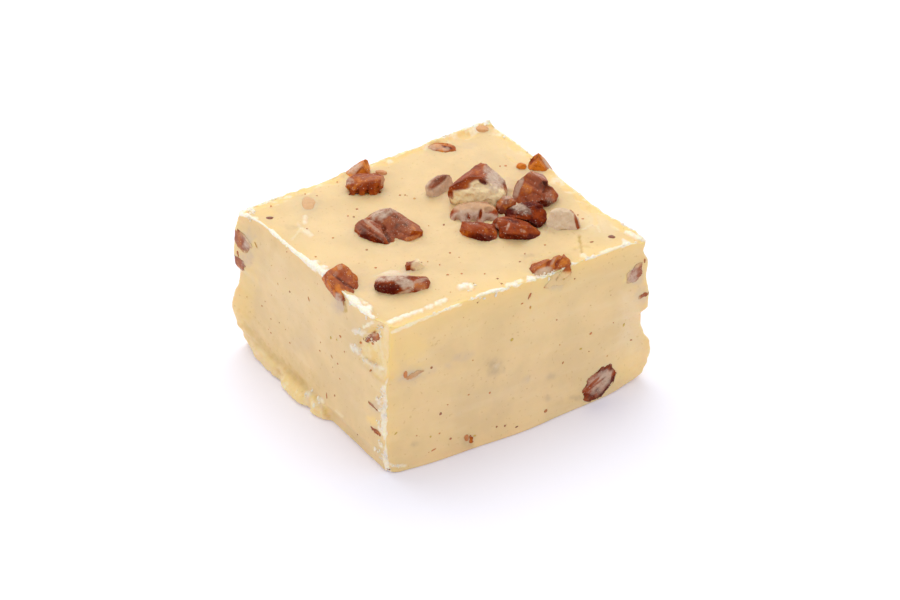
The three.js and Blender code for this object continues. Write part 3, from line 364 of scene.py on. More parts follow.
# Patches on the pecan pieces, read off the photo in its pixels: (kind, across, down, half length, half
# width, turn in degrees, strength). Kinds: film, fudge smeared thinly, and a few small painted glints; over,
# fudge laid thickly; flesh and cream, broken faces; dust, sugar; dark and light, the skin's tone, and also
# painted shade in grooves, crevices and undersides and painted light on lit sides; rim and bare, clean skin;
# dent, hollows in millimetres. Last, where a patch's border starts and ends
PATCHES = {
    "pecan_ridged": [
        ("film_and_sheen", 366, 177, 20, 3, -3, 0.15), ("film_and_sheen", 348, 181, 6, 3, 0, 0.55),
        ("flesh", 384, 181, 3, 4, 0, 0.4), ("light", 362, 187, 12, 4, 0, 0.1),
        ("dark", 358, 191, 1.6, 5, 0, 0.18), ("dark", 368, 191, 1.6, 5, 0, 0.18),
        ("dent", 357, 194, 2.2, 3.5, 0, 0.45), ("dent", 367, 194, 2.2, 3.5, 0, 0.45),
        ("dent", 347, 191, 3, 4, 0, 0.5), ("dent", 380, 191, 4, 4, 0, 0.5),
    ],
    "pecan_shard_back": [
        ("film_and_sheen", 355, 168, 8, 4, 38, 0.6), ("dust", 355, 168, 8, 5, 38, 0.6),
        ("dark", 368, 174, 6, 3, 0, 0.2),
    ],
    "pecan_sliver": [("flesh", 381, 172, 9, 6, 0, 0.4)],
    "pecan_large": [
        ("film_and_sheen", 381, 213, 13, 7, 35, 0.95), ("film_and_sheen", 392, 209, 9, 3, -20, 0.6),
        ("dust", 400, 220, 14, 8, -40, 0.3), ("dark", 371, 237, 17, 6, -35, 0.3),
        ("film_and_sheen", 372, 226, 15, 1.8, -38, 0.55), ("dent", 388, 236, 2.2, 11, 28, 0.6),
        ("dark", 389, 238, 2, 8, 25, 0.4), ("light", 408, 241, 12, 3.5, 18, 0.3),
        ("film_and_sheen", 408, 241, 12, 3.5, 18, 0.2), ("dent", 370, 231, 13, 1.2, -35, 0.25),
        # The last film patch here, at (386, 237), is a painted glint
        ("dark", 369, 232, 12, 1.2, -35, 0.3), ("film_and_sheen", 386, 237, 5, 1.8, -50, 0.5),
    ],
    "pecan_leaf": [
        ("dark", 345, 283, 15, 1.6, -33, 0.35), ("dent", 345, 283, 15, 1.4, -33, 0.2),
        ("film_and_sheen", 340, 267, 2.5, 3, 0, 0.6), ("light", 344, 292, 10, 3, -10, 0.2),
        ("dark", 353, 291, 6, 3, -40, 0.2), ("film_and_sheen", 338, 303, 5, 9, 0, 0.8),
        ("dark", 344, 304, 1.8, 8, 20, 0.35), ("film_and_sheen", 336, 275, 4, 3, 45, 0.25),
    ],
    "pecan_boat": [
        ("film_and_sheen", 391, 277, 20, 4.8, 4, 1), ("film_and_sheen", 404, 282, 8, 3, 0, 0.9),
        ("dark", 386, 289, 14, 6, -8, 0.32), ("film_and_sheen", 408, 287, 6, 6, 25, 0.85),
        ("cream", 404, 293, 6, 2, 10, 0.5), ("light", 421, 286, 7, 5, 15, 0.25),
        ("film_and_sheen", 421, 281, 7, 2, 15, 0.5), ("dust", 418, 286, 9, 5, 0, 0.6),
        ("dent", 387, 287, 8, 3, -5, 0.2),
    ],
    "pecan_cube": [
        ("flesh", 420, 266, 8, 9, 0, 1), ("cream", 420, 266, 8, 9, 0, 0.85),
        ("film_and_sheen", 416, 264, 4, 4, 0, 0.4), ("rim", 407, 266, 3.4, 6, 0, 1),
        ("rim", 424, 262, 2, 1.2, 0, 0.8),
    ],
    "pecan_tan_back": [
        ("film_and_sheen", 432, 149, 4, 3, 0, 0.5), ("dark", 447, 147, 6, 1.5, -18, 0.5),
        ("flesh", 436, 147, 8, 4, 0, 0.45), ("cream", 436, 147, 7, 3, 0, 0.15),
        ("flesh", 446, 149, 4, 2, 0, 0.6),
    ],
    "pecan_slab": [
        ("bare", 440, 179, 14, 4.5, 38, 0.88), ("film_and_sheen", 443, 193, 11, 7, 20, 0.35),
        ("dust", 440, 178, 12, 3, 38, 1),
    ],
    "pecan_broken": [
        ("cream", 462, 200, 13, 12, 0, 1), ("cream", 477, 200, 13, 14, 0, 1),
        ("cream", 491, 200, 10, 12, 0, 0.95), ("cream", 478, 185, 9, 5, 8, 0.95),
        ("cream", 489, 189, 11, 6, -8, 0.95), ("cream", 498, 197, 9, 10, 0, 1),
        ("film_and_sheen", 497, 178, 9, 14, -20, 0.95), ("flesh", 496, 180, 9, 16, -20, 0.5),
        ("dust", 478, 187, 22, 2.5, 0, 0.5), ("film_and_sheen", 488, 168, 5, 5, 0, 0.55),
        ("rim", 451, 193, 2, 6, 15, 0.8), ("bare", 458, 187, 11, 3.2, 8, 1),
        ("dust", 494, 172, 10, 12, -20, 0.8), ("rim", 483, 182, 5, 2.2, -30, 1),
        ("dark", 483, 183, 6, 2.5, -30, 0.3), ("rim", 457, 209, 3, 4, 20, 0.8),
        ("dent", 470, 197, 4, 3, 10, 0.25), ("dent", 488, 203, 5, 4, 0, 0.3),
        ("dent", 461, 204, 3, 4, 0, 0.25), ("dent", 478, 186, 5, 2, 10, 0.35),
    ],
    "pecan_flap": [
        ("film_and_sheen", 474, 218, 30, 7, 0, 0.75), ("cream", 473, 207, 23, 6, 0, 0.55),
        ("film_and_sheen", 457, 216, 5, 3, 0, 0.8), ("film_and_sheen", 486, 221, 8, 4, 0, 0.7),
        ("rim", 469, 217, 1.8, 2.6, 20, 1), ("rim", 480.5, 214, 1.6, 4.5, -10, 1),
        ("dark", 480, 216, 22, 9, 0, 0.2), ("dent", 468, 218, 1.8, 4, 20, 0.3),
        ("dent", 480, 215, 1.6, 5, -10, 0.3), ("dent", 489, 210, 4, 3, 0, 0.3),
        ("dent", 457, 221, 4, 5, 0, 0.7), ("dent", 474, 223, 4, 5, 0, 0.8),
        ("dent", 489, 223, 5, 5, 0, 0.7), ("dark", 474, 223, 24, 3, 0, 0.25),
    ],
    "pecan_tall": [
        ("film_and_sheen", 518, 188, 3, 12, -22, 0.7), ("dust", 535, 172, 14, 4, -12, 0.6),
        ("dust", 551, 200, 4, 9, 10, 0.5), ("dark", 544, 185, 5, 5, 0, 0.25),
        # The dark patch at (542, 207) is painted shade in the crevice under this piece
        ("dent", 546, 187, 5.5, 5, -20, 0.7), ("dark", 542, 207, 14, 6, 0, 0.9),
        ("light", 529, 186, 6, 12, -25, 0.12), ("dark", 538, 200, 3, 8, 35, 0.15),
        ("film_and_sheen", 545, 176, 8, 2, -30, 0.35),
    ],
    "pecan_orange_back": [
        ("film_and_sheen", 547, 164, 1.6, 10, 38, 0.85), ("dark", 532, 158, 1.5, 6, -15, 0.4),
        ("dark", 536, 168, 5, 3, 0, 0.15),
    ],
    "pecan_front_left": [
        ("light", 465, 229, 7, 6, 0, 0.1), ("dark", 482, 238, 12, 4, -8, 0.4),
        ("dust", 470, 222, 9, 2, -15, 0.5),
    ],
    "pecan_front_low": [
        ("film_and_sheen", 494, 230, 4, 6, 10, 0.6), ("dark", 511, 222, 8, 4, 0, 0.15),
        # The film patches at (508, 227) and (523, 231) are painted glints
        ("dark", 520, 238, 24, 4, 3, 0.35), ("film_and_sheen", 508, 227, 1.4, 3.5, -20, 0.65),
        ("dust", 499, 220, 6, 2, 0, 0.3), ("film_and_sheen", 523, 231, 3, 1.2, -20, 0.4),
    ],
    "pecan_middle": [
        ("film_and_sheen", 517, 206, 10, 4, -15, 0.8), ("dust", 520, 209, 11, 5, -15, 0.8),
        ("light", 524, 216, 7, 4, -30, 0.1), ("dark", 535, 225, 12, 5, -10, 0.2),
        # The film patch at (541, 231) is a painted glint
        ("film_and_sheen", 541, 231, 2.2, 1.6, 0, 0.9),
    ],
    "pecan_wedge": [
        ("film_and_sheen", 507, 197, 5, 2.5, 0, 0.7), ("dust", 507, 200, 6, 4, 0, 0.6),
        ("dark", 500, 212, 5, 5, 0, 0.4),
    ],
    "pecan_pale": [
        ("rim", 577, 223, 1.5, 9, 15, 1), ("rim", 565, 231.5, 6, 1.4, 0, 0.9),
        ("dent", 564, 232, 4, 2.5, 0, 0.5), ("cream", 560, 218, 16, 14, 0, 0.4),
        ("dust", 560, 218, 18, 14, 0, 0.6), ("rim", 572, 211, 4, 1, -45, 0.8),
    ],
    "pecan_edge_front": [
        ("flesh", 543, 273, 11, 4, 25, 0.9), ("film_and_sheen", 546, 276, 10, 4, 20, 0.3),
        ("film_and_sheen", 552, 284, 8, 5, 0, 0.6), ("over", 559, 281, 17, 9.5, 0, 0.92),
        ("dark", 550, 263, 1.6, 7, -30, 0.2), ("dent", 550, 260, 1.6, 7, -30, 0.25),
        ("dark", 559, 263, 1.6, 7, -30, 0.2), ("dent", 559, 260, 1.6, 7, -30, 0.25),
        ("light", 563, 264, 5, 4, 0, 0.25), ("film_and_sheen", 553, 262, 1.6, 6, -30, 0.5),
    ],
    "pecan_oval": [
        ("film_and_sheen", 599, 382, 15, 8, 42, 0.6), ("flesh", 602, 380, 12, 5, 42, 0.5),
        ("rim", 590, 386, 15, 1.3, 45, 0.9), ("rim", 613, 378, 2, 8, -10, 0.9),
        ("rim", 596, 384, 12, 1, 38, 0.8), ("dark", 603, 393, 11, 2, 32, 0.2),
        ("rim", 583, 394, 5, 3, 30, 0.7), ("dent", 597, 384, 12, 1.2, 38, 0.12),
    ],
    "pecan_front_sliver": [("rim", 407, 376, 3, 6, 0, 1), ("film_and_sheen", 420, 374, 10, 7, 0, 0.4)],
    "pecan_front_chip": [("film_and_sheen", 468, 443, 2, 5, 0, 0.3)],
    "pecan_right_upper": [
        ("rim", 640, 275, 4, 3, 30, 1), ("rim", 645, 262, 3, 4, 0, 1), ("film_and_sheen", 631, 276, 10, 10, 0, 0.75),
    ],
    "pecan_right_lower": [("rim", 642, 292, 4, 8, 20, 1), ("film_and_sheen", 633, 299, 6, 8, 0, 0.6)],
    "pecan_left_upper": [
        ("rim", 238, 228, 3, 6, 0, 1), ("rim", 241, 242, 3.5, 5, -40, 1), ("film_and_sheen", 249, 241, 7, 8, 0, 0.95),
    ],
    "pecan_left_lower": [("rim", 239, 256, 4, 8, 15, 1), ("film_and_sheen", 247, 260, 5, 7, 0, 0.8)],
    "pecan_chip_upper": [("film_and_sheen", 368, 336, 9, 2.6, 10, 0.8), ("dust", 368, 340, 10, 5, 0, 0.5)],
    "pecan_edge_thin": [("film_and_sheen", 375, 405, 7, 1.4, -45, 0.5)],
    "pecan_edge_lower": [("cream", 375, 422, 7, 3, -40, 0.8)],
}
PATCH_BORDER = (1.3, 0.7)

# Looks of the pecan pieces. tone: the skin from 0, orange, to 1, near black; flesh, film, veiled: how far
# broken flesh, smeared fudge or plain fudge shows all over; sheen: painted sheen, a pale laid with the film
# on what faces up, where the light falls; smooth: rounds of smoothing; facets: flats, each (right, up, to the
# eye, share of the piece's reach that way); move: millimetres; lean: drop for each millimetre towards the
# viewer;
# grow: stretch to the right and towards the viewer; widen: stretch across its length; cover: on a piece that
# the wire cut, how far fudge covers the cut's rim; inside: how pale the cut's middle is. Last, the look of
# the other pieces that it cut
LOOKS = {
    "pecan_ridged": dict(tone=0.42, painted_sheen=0.06, facets=[(0, 0.9, 0.45, 0.8)]),
    "pecan_shard_back": dict(tone=0.08, painted_sheen=0.08, facets=[(-0.6, 0.3, 0.7, 0.75), (0.6, 0.4, 0.7, 0.75)]),
    "pecan_sliver": dict(tone=0.08),
    "pecan_large": dict(
        tone=0.5, facets=[(0.45, 0.75, 0.5, 0.8), (0.5, -0.3, 0.8, 0.82), (-0.5, 0.5, 0.7, 0.84)]),
    "pecan_leaf": dict(tone=0.34, painted_sheen=0.1, move=(-0.3, -0.4, 0.1), grow=(1.25, 1.25), cover=0.3),
    "pecan_boat": dict(tone=0.6, painted_sheen=0.03, move=(0, 0, 0.4), smooth=4),
    "pecan_cube": dict(tone=0.5),
    "pecan_tan_back": dict(tone=0.2, painted_sheen=0.05),
    "pecan_slab": dict(tone=0.66, flesh=1, smooth=4),
    "pecan_broken": dict(
        tone=0.5, painted_sheen=0.1, facets=[(-0.45, 0.8, 0.4, 0.8), (0.6, 0.6, 0.5, 0.78), (0, -0.1, 1, 0.72)]),
    "pecan_flap": dict(
        tone=0.36, painted_sheen=0, move=(-0.22, -0.33, 0.1), grow=(1, 1.4), lean=0.45, smooth=4,
        facets=[(0, 0.5, 0.85, 0.5)]),
    "pecan_tall": dict(
        tone=0.52, painted_sheen=0.14,
        facets=[(-0.55, 0.25, 0.8, 0.7), (0.6, 0.2, 0.75, 0.78), (0.4, 0.9, 0.3, 0.82)]),
    "pecan_orange_back": dict(
        tone=0.08, painted_sheen=0.05, facets=[(-0.65, 0.3, 0.7, 0.65), (0.75, 0.4, 0.5, 0.65)]),
    "pecan_crumb": dict(tone=0.1, painted_sheen=0.05),
    "pecan_front_left": dict(
        tone=0.5, painted_sheen=0.05, move=(0.2, 0.3, 0.05), grow=(1.02, 1.2),
        facets=[(-0.3, 0.6, 0.7, 0.8), (0.4, 0.1, 0.9, 0.82)]),
    "pecan_front_low": dict(tone=0.54, painted_sheen=0.03, facets=[(-0.3, 0.5, 0.8, 0.78), (0.5, 0.2, 0.8, 0.8)]),
    "pecan_middle": dict(tone=0.8, painted_sheen=0, facets=[(0.5, 0.35, 0.8, 0.72), (-0.6, 0.4, 0.7, 0.75)]),
    "pecan_wedge": dict(tone=0.35, facets=[(-0.5, 0.4, 0.75, 0.78)]),
    "pecan_pale": dict(tone=0.4, flesh=1, film_and_sheen=0.2, smooth=14),
    "pecan_edge_front": dict(tone=0.3, painted_sheen=0.15, move=(-0.5, -0.8, 0), cover=0.3),
    "pecan_tan_corner": dict(tone=0.05, flesh=0.3, veiled=0.3),
    "pecan_tan_left": dict(tone=0.05, flesh=0.5, veiled=0.4),
    "pecan_oval": dict(tone=0.72, cover=0.05, widen=1.5),
    "pecan_left_lower": dict(tone=0.45, cover=0.25, inside=0.2),
    "pecan_chip_upper": dict(tone=0.38, cover=0.1),
    "pecan_edge_thin": dict(tone=0.55, cover=0.15),
    "pecan_edge_lower": dict(tone=0.5, cover=0.15),
    "pecan_front_chip": dict(tone=0.4, cover=0.05),
    "pecan_front_sliver": dict(tone=0.3, cover=0.5, veiled=0.4),
}
CUT_LOOK = dict(tone=0.45, cover=0.55, inside=0.2)


class FudgeSizes(bpy.types.PropertyGroup):
    """Sizes of the fudge block and of what lies on it"""
    top_width: bpy.props.FloatProperty(
        name="Top width", description="Length of the top along X", default=0.045, unit="LENGTH")
    top_depth: bpy.props.FloatProperty(
        name="Top depth", description="Length of the top along Y", default=0.0405, unit="LENGTH")
    height: bpy.props.FloatProperty(
        name="Height", description="Height of the block under its nuts", default=0.0245, unit="LENGTH")
    base_flare: bpy.props.FloatProperty(
        name="Base flare", description="How far each side leans out at its foot",
        default=0.0008, unit="LENGTH")
    front_bow: bpy.props.FloatProperty(
        name="Front bow", description="Extra bulge of the front's foot", default=0.0011, unit="LENGTH")
    front_foot: bpy.props.FloatProperty(
        name="Front foot", description="Extra lean of the front", default=0.0005, unit="LENGTH")
    corner_radius: bpy.props.FloatProperty(
        name="Corner radius", description="Radius of the upright edges", default=0.0006, unit="LENGTH")
    base_radius: bpy.props.FloatProperty(
        name="Base radius", description="Radius of the edge round the base", default=0.00045, unit="LENGTH")
    rim_lift: bpy.props.FloatProperty(
        name="Rim lift", description="Most that the ragged rim stands up", default=0.00045, unit="LENGTH")
    meniscus: bpy.props.FloatProperty(
        name="Meniscus", description="How far the fudge climbs up a nut", default=0.00035, unit="LENGTH")
    crumbliness: bpy.props.FloatProperty(
        name="Crumbliness", description="Roughness of the frosted edges", default=0.00016, unit="LENGTH")
    crumb_count: bpy.props.IntProperty(
        name="Crumbs", description="Number of fudge crumbs along the edges", default=220)
    speck_count: bpy.props.IntProperty(
        name="Specks", description="Number of tiny nut specks", default=110)
    seed: bpy.props.IntProperty(
        name="Seed", description="Start of every random draw", default=7)


class FudgeColours(bpy.types.PropertyGroup):
    """Colours of the fudge and of the pecans"""
    cream: bpy.props.FloatVectorProperty(
        name="Cream", description="Body of the fudge", default=(0.817, 0.591, 0.298), subtype="COLOR")
    butter: bpy.props.FloatVectorProperty(
        name="Butter", description="Yellower fudge at edges and in the lip", default=(0.93, 0.66, 0.235),
        subtype="COLOR")
    frost: bpy.props.FloatVectorProperty(
        name="Frost", description="White crumbly edges", default=(0.97, 0.9, 0.77), subtype="COLOR")
    # Stain tint: nut just under the surface, and also the painted shade round the nuts on the top
    stain_and_shade: bpy.props.FloatVectorProperty(
        name="Stain", description="Nut just under the surface", default=(0.47, 0.33, 0.2), subtype="COLOR")
    # Crease tint: painted shade in creases and cracks, olive-brown
    crease_shade: bpy.props.FloatVectorProperty(
        name="Crease", description="Brown in creases and cracks", default=(0.58, 0.36, 0.06), subtype="COLOR")
    skin_light: bpy.props.FloatVectorProperty(
        name="Light skin", description="Orange pecan skin", default=(0.72, 0.22, 0.02), subtype="COLOR")
    skin_brown: bpy.props.FloatVectorProperty(
        name="Brown skin", description="Red-brown pecan skin", default=(0.32, 0.046, 0.004), subtype="COLOR")
    skin_dark: bpy.props.FloatVectorProperty(
        name="Dark skin", description="Dark pecan skin", default=(0.085, 0.003, 0.001), subtype="COLOR")
    flesh: bpy.props.FloatVectorProperty(
        name="Flesh", description="Broken pecan flesh", default=(0.68, 0.48, 0.34), subtype="COLOR")
    meat_cream: bpy.props.FloatVectorProperty(
        name="Cream flesh", description="Yellower crumbly flesh", default=(0.98, 0.78, 0.46), subtype="COLOR")
    sugar: bpy.props.FloatVectorProperty(
        name="Sugar", description="Frosting on the nuts' skin", default=(0.8, 0.66, 0.54), subtype="COLOR")
    # Film tint: fudge smeared thinly over a nut, and also the pale of the painted sheen and glints on the
    # skin
    film_and_sheen: bpy.props.FloatVectorProperty(
        name="Film", description="Fudge smeared thinly over a nut",
        default=(0.63, 0.47, 0.355), subtype="COLOR")


class FudgeStage(bpy.types.PropertyGroup):
    """Floor, light and camera"""
    floor: bpy.props.FloatVectorProperty(
        name="Floor", description="Pale floor", default=(0.945, 0.95, 0.99), subtype="COLOR")
    floor_glow: bpy.props.FloatVectorProperty(
        name="Floor glow", description="Light that the shadow on the floor keeps",
        default=(0.05, 0.05, 0.115), subtype="COLOR")
    sky: bpy.props.FloatProperty(
        name="Sky", description="Strength of the light from all round", default=0.83)
    key_power: bpy.props.FloatProperty(
        name="Key", description="Power of the large overhead light", default=2.3, unit="POWER")
    azimuth: bpy.props.FloatProperty(
        name="Azimuth", description="Camera's way round the square", default=SIGHT_AZIMUTH,
        subtype="ANGLE")
    elevation: bpy.props.FloatProperty(
        name="Elevation", description="Camera's angle above the floor", default=SIGHT_ELEVATION,
        subtype="ANGLE")
    distance: bpy.props.FloatProperty(
        name="Distance", description="From the camera to the middle of the block",
        default=SIGHT_DISTANCE * MM, unit="LENGTH")
    field_of_view: bpy.props.FloatProperty(
        name="Field of view", description="Across the picture", default=math.radians(13), subtype="ANGLE")
    aim: bpy.props.FloatVectorProperty(
        name="Aim", description="Picture's middle, right of and above the block's middle",
        default=(0.001355, -0.001235), size=2, unit="LENGTH")


def along(points, t):
    """Values at t on a smooth curve through (place, value) points in rising order."""
    places, values = np.array(points, float).T
    t = np.clip(t, places[0], places[-1])
    k = np.clip(np.searchsorted(places, t, side="right") - 1, 0, len(places) - 2)
    s = (t - places[k]) / (places[k + 1] - places[k])
    return values[k] + (values[k + 1] - values[k]) * s * s * (3 - 2 * s)


def ramp(low, high, t):
    """0 at low, 1 at high and smooth between; low may be the larger of the two."""
    s = np.clip((t - low) / (high - low), 0, 1)
    return s * s * (3 - 2 * s)


def lumps(points, size, seed):
    """Smooth random values from -1 to 1 at points, with lumps of about that size."""
    place = points / size + seed * SEED_STEP
    cell = np.floor(place).astype(np.int64)
    part = place - cell
    part = part * part * (3 - 2 * part)
    total = np.zeros(len(points))
    for corner in np.ndindex(2, 2, 2):
        mixed = ((cell + corner) @ CELL_HASH + seed * SEED_HASH) & 0xFFFFFFFF
        mixed = ((mixed ^ (mixed >> 13)) * MIX_HASH) & 0xFFFFFFFF
        mixed = (mixed ^ (mixed >> 16)) & 0xFFFF
        total += np.prod(np.where(corner, part, 1 - part), axis=1) * mixed
    return total / HALF_RANGE - 1


def grain(points, size, seed):
    """Random values with smaller lumps on the larger ones."""
    return (lumps(points, size, seed) + 0.5 * lumps(points, size / 2, seed + 1)
            + 0.25 * lumps(points, size / 4, seed + 2)) / 1.4


def lay(mark, amount):
    """Raises a mark to an amount wherever it is lower."""
    np.maximum(mark, amount, out=mark)


class BlockForm:
    """The worn form of the fudge block in millimetres, as a map from the plain block's surface."""

    def __init__(self, sizes):
        self.half_x = sizes.top_width / MM / 2
        self.half_y = sizes.top_depth / MM / 2
        self.height = sizes.height / MM
        self.flare = sizes.base_flare / MM
        self.bow = sizes.front_bow / MM
        self.foot = sizes.front_foot / MM
        self.corner = sizes.corner_radius / MM
        self.base = sizes.base_radius / MM
        self.rim = sizes.rim_lift / MM

    def near(self, distance, reach=EDGE_REACH):
        """1 at an edge, fading out with the distance from it."""
        return np.exp(-(distance / reach) ** 2)

    def lean(self, side, s, z, extra=0.0):
        """How far an unworn side stands out: its slant, its round foot and its slow waves."""
        drop = np.maximum(self.base - z, 0)
        foot = np.sqrt(np.maximum(self.base ** 2 - drop ** 2, 0)) - self.base
        run = s + WAVE_START[side]
        waves = np.sin(0.41 * run + 0.23 * z) + np.sin(0.17 * run - 0.37 * z + 1)
        return (self.flare + extra) * (1 - z / self.height) + foot + WAVE * waves

    def left_out(self, y, z):
        """How far the left side stands out."""
        wear = (along(BACK_LEFT_EDGE, z) * self.near(self.half_y - y)
                + along(FRONT_LEFT_EDGE, z) * self.near(self.half_y + y))
        lip = along(LIP_RUN, y) * along(LIP_SECTION, z)
        return self.lean("left", y, z) + wear + lip - self.chip(y, z)

    def chip(self, y, z):
        """Depth of the flake broken off the left side."""
        brow = along(CHIP_BROW, y)
        return along(CHIP_RUN, y) * along(CHIP_SECTION, z) * ramp(brow + BROW_HALF, brow - BROW_HALF, z)

    def right_out(self, y, z):
        """How far the right side stands out."""
        wear = (along(FRONT_RIGHT_EDGE, z) * self.near(self.half_y + y)
                + along(BACK_RIGHT_EDGE, z) * self.near(self.half_y - y))
        return self.lean("right", y, z) + wear

    def front_out(self, x, z):
        """How far the front stands out."""
        wear = (along(FRONT_LEFT_SETBACK, z) * self.near(self.half_x + x)
                + ROUND_SHARE * along(FRONT_RIGHT_EDGE, z) * self.near(self.half_x - x))
        bow = self.bow * (1 - z / self.height) * np.cos(math.pi * x / (2 * self.half_x))
        return self.lean("front", x, z, self.foot) + bow + wear

    def back_out(self, x, z):
        """How far the back stands out."""
        wear = ROUND_SHARE * along(BACK_LEFT_EDGE, z) * self.near(self.half_x + x)
        return self.lean("back", x, z) + wear

    def top_lift(self, x, y):
        """How far the top rises at its ragged rim and in its slow swell."""
        rim = (along(LEFT_RIM, y) * self.near(self.half_x + x, RIM_REACH)
               + along(RIGHT_RIM, y) * self.near(self.half_x - x, RIM_REACH)
               + along(FRONT_RIM, x) * self.near(self.half_y + y, RIM_REACH)
               + along(BACK_RIM, x) * self.near(self.half_y - y, RIM_REACH))
        return self.rim * rim + SWELL * np.sin(0.21 * x + 1) * np.cos(0.19 * y)

    def place(self, plain):
        """The worn places of points on the plain block's surface."""
        x, y, z = plain.T
        broken = np.where((x < 0) & (y < 0), np.maximum(ramp(*CHIP_FOOT, z), ramp(*BASE_FOOT, z)), 0)
        corner = self.corner + (CHIP_RADIUS - self.corner) * broken
        arm_x = np.maximum(corner - (self.half_x - np.abs(x)), 0)
        arm_y = np.maximum(corner - (self.half_y - np.abs(y)), 0)
        longer = np.maximum(arm_x, arm_y) / np.maximum(np.hypot(arm_x, arm_y), TINY)
        pull = np.where((arm_x > 0) & (arm_y > 0), longer - 1, 0)
        shift_x = (self.right_out(y, z) * np.exp((x - self.half_x) / EDGE_REACH)
                   - self.left_out(y, z) * np.exp((-x - self.half_x) / EDGE_REACH))
        shift_y = (self.back_out(x, z) * np.exp((y - self.half_y) / EDGE_REACH)
                   - self.front_out(x, z) * np.exp((-y - self.half_y) / EDGE_REACH))
        rise = self.top_lift(x, y) * ramp(self.height - RIM_DEPTH, self.height, z)
        return np.stack([x + np.sign(x) * arm_x * pull + shift_x,
                         y + np.sign(y) * arm_y * pull + shift_y, z + rise], axis=1)

    def lines(self, half, fine, coarse):
        """Grid places from -half to half, close together at both ends."""
        steps = [0.0]
        while steps[-1] < half:
            steps.append(steps[-1] + min(coarse, fine + GRID_GROWTH * steps[-1]))
        ends = np.array(steps) * half / steps[-1]
        return np.unique(np.round(np.concatenate([ends - half, half - ends]), 6))

    def surface(self, grid):
        """Points on the plain block's surface, its quads, and the ring round its base."""
        xs, ys = self.lines(self.half_x, *grid), self.lines(self.half_y, *grid)
        zs = self.lines(self.height / 2, *grid) + self.height / 2
        sheets = [(xs, ys, lambda u, v: (u, v, np.full_like(u, self.height))),
                  (xs, zs, lambda u, v: (u, np.full_like(u, -self.half_y), v)),
                  (xs[::-1], zs, lambda u, v: (u, np.full_like(u, self.half_y), v)),
                  (ys, zs, lambda u, v: (np.full_like(u, self.half_x), u, v)),
                  (ys[::-1], zs, lambda u, v: (np.full_like(u, -self.half_x), u, v))]
        points, quads, count = [], [], 0
        for us, vs, place in sheets:
            u, v = np.meshgrid(us, vs, indexing="ij")
            points.append(np.stack(place(u, v), axis=-1).reshape(-1, 3))
            i = np.arange(u.size).reshape(u.shape) + count
            quads.append(np.stack([i[:-1, :-1], i[1:, :-1], i[1:, 1:], i[:-1, 1:]], axis=-1).reshape(-1, 4))
            count += u.size
        merged, where = np.unique(np.round(np.concatenate(points), 5), axis=0, return_inverse=True)
        quads = where.reshape(-1)[np.concatenate(quads)]
        low = np.flatnonzero(merged[:, 2] < ON_FACE)
        turn = np.arctan2(merged[low, 1] / self.half_y, merged[low, 0] / self.half_x)
        return merged, quads, low[np.argsort(-turn)]

    def centring(self):
        """The shift that brings this form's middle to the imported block's."""
        plain, _, _ = self.surface(MEASURING_GRID)
        placed = self.place(plain)
        low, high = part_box("fudge_block")
        middle = (np.array(low) + np.array(high)) / 2 / MM
        return (middle - (placed.min(axis=0) + placed.max(axis=0)) / 2) * (1, 1, 0)

    def tree(self, shift=(0, 0, 0)):
        """The worn surface, moved by a shift, for finding places on it."""
        plain, quads, _ = self.surface(FINDING_GRID)
        return BVHTree.FromPolygons((self.place(plain) + shift).tolist(), quads.tolist())


def point_normals(points, quads):
    """Unit normals at the points of a mesh of quads."""
    a, b, c, d = (points[quads[:, k]] for k in range(4))
    across = np.cross(c - a, d - b)
    total = np.zeros_like(points)
    for k in range(4):
        np.add.at(total, quads[:, k], across)
    return total / np.maximum(np.linalg.norm(total, axis=1, keepdims=True), TINY)


def new_piece(name, points, polygons, material, marks, nodes):
    """A finished mesh object from millimetre points, riding on the frame."""
    mesh = bpy.data.meshes.new(name)
    mesh.from_pydata((points * MM).tolist(), [], polygons)
    for key, values in marks.items():
        mesh.attributes.new(key, "FLOAT", "POINT").data.foreach_set("value", values.astype(np.float32))
    mesh.shade_smooth()
    mesh.materials.append(material)
    piece = bpy.data.objects.new(name, mesh)
    bpy.context.scene.collection.objects.link(piece)
    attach(piece, "root")
    if nodes:
        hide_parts(*nodes)
    return piece


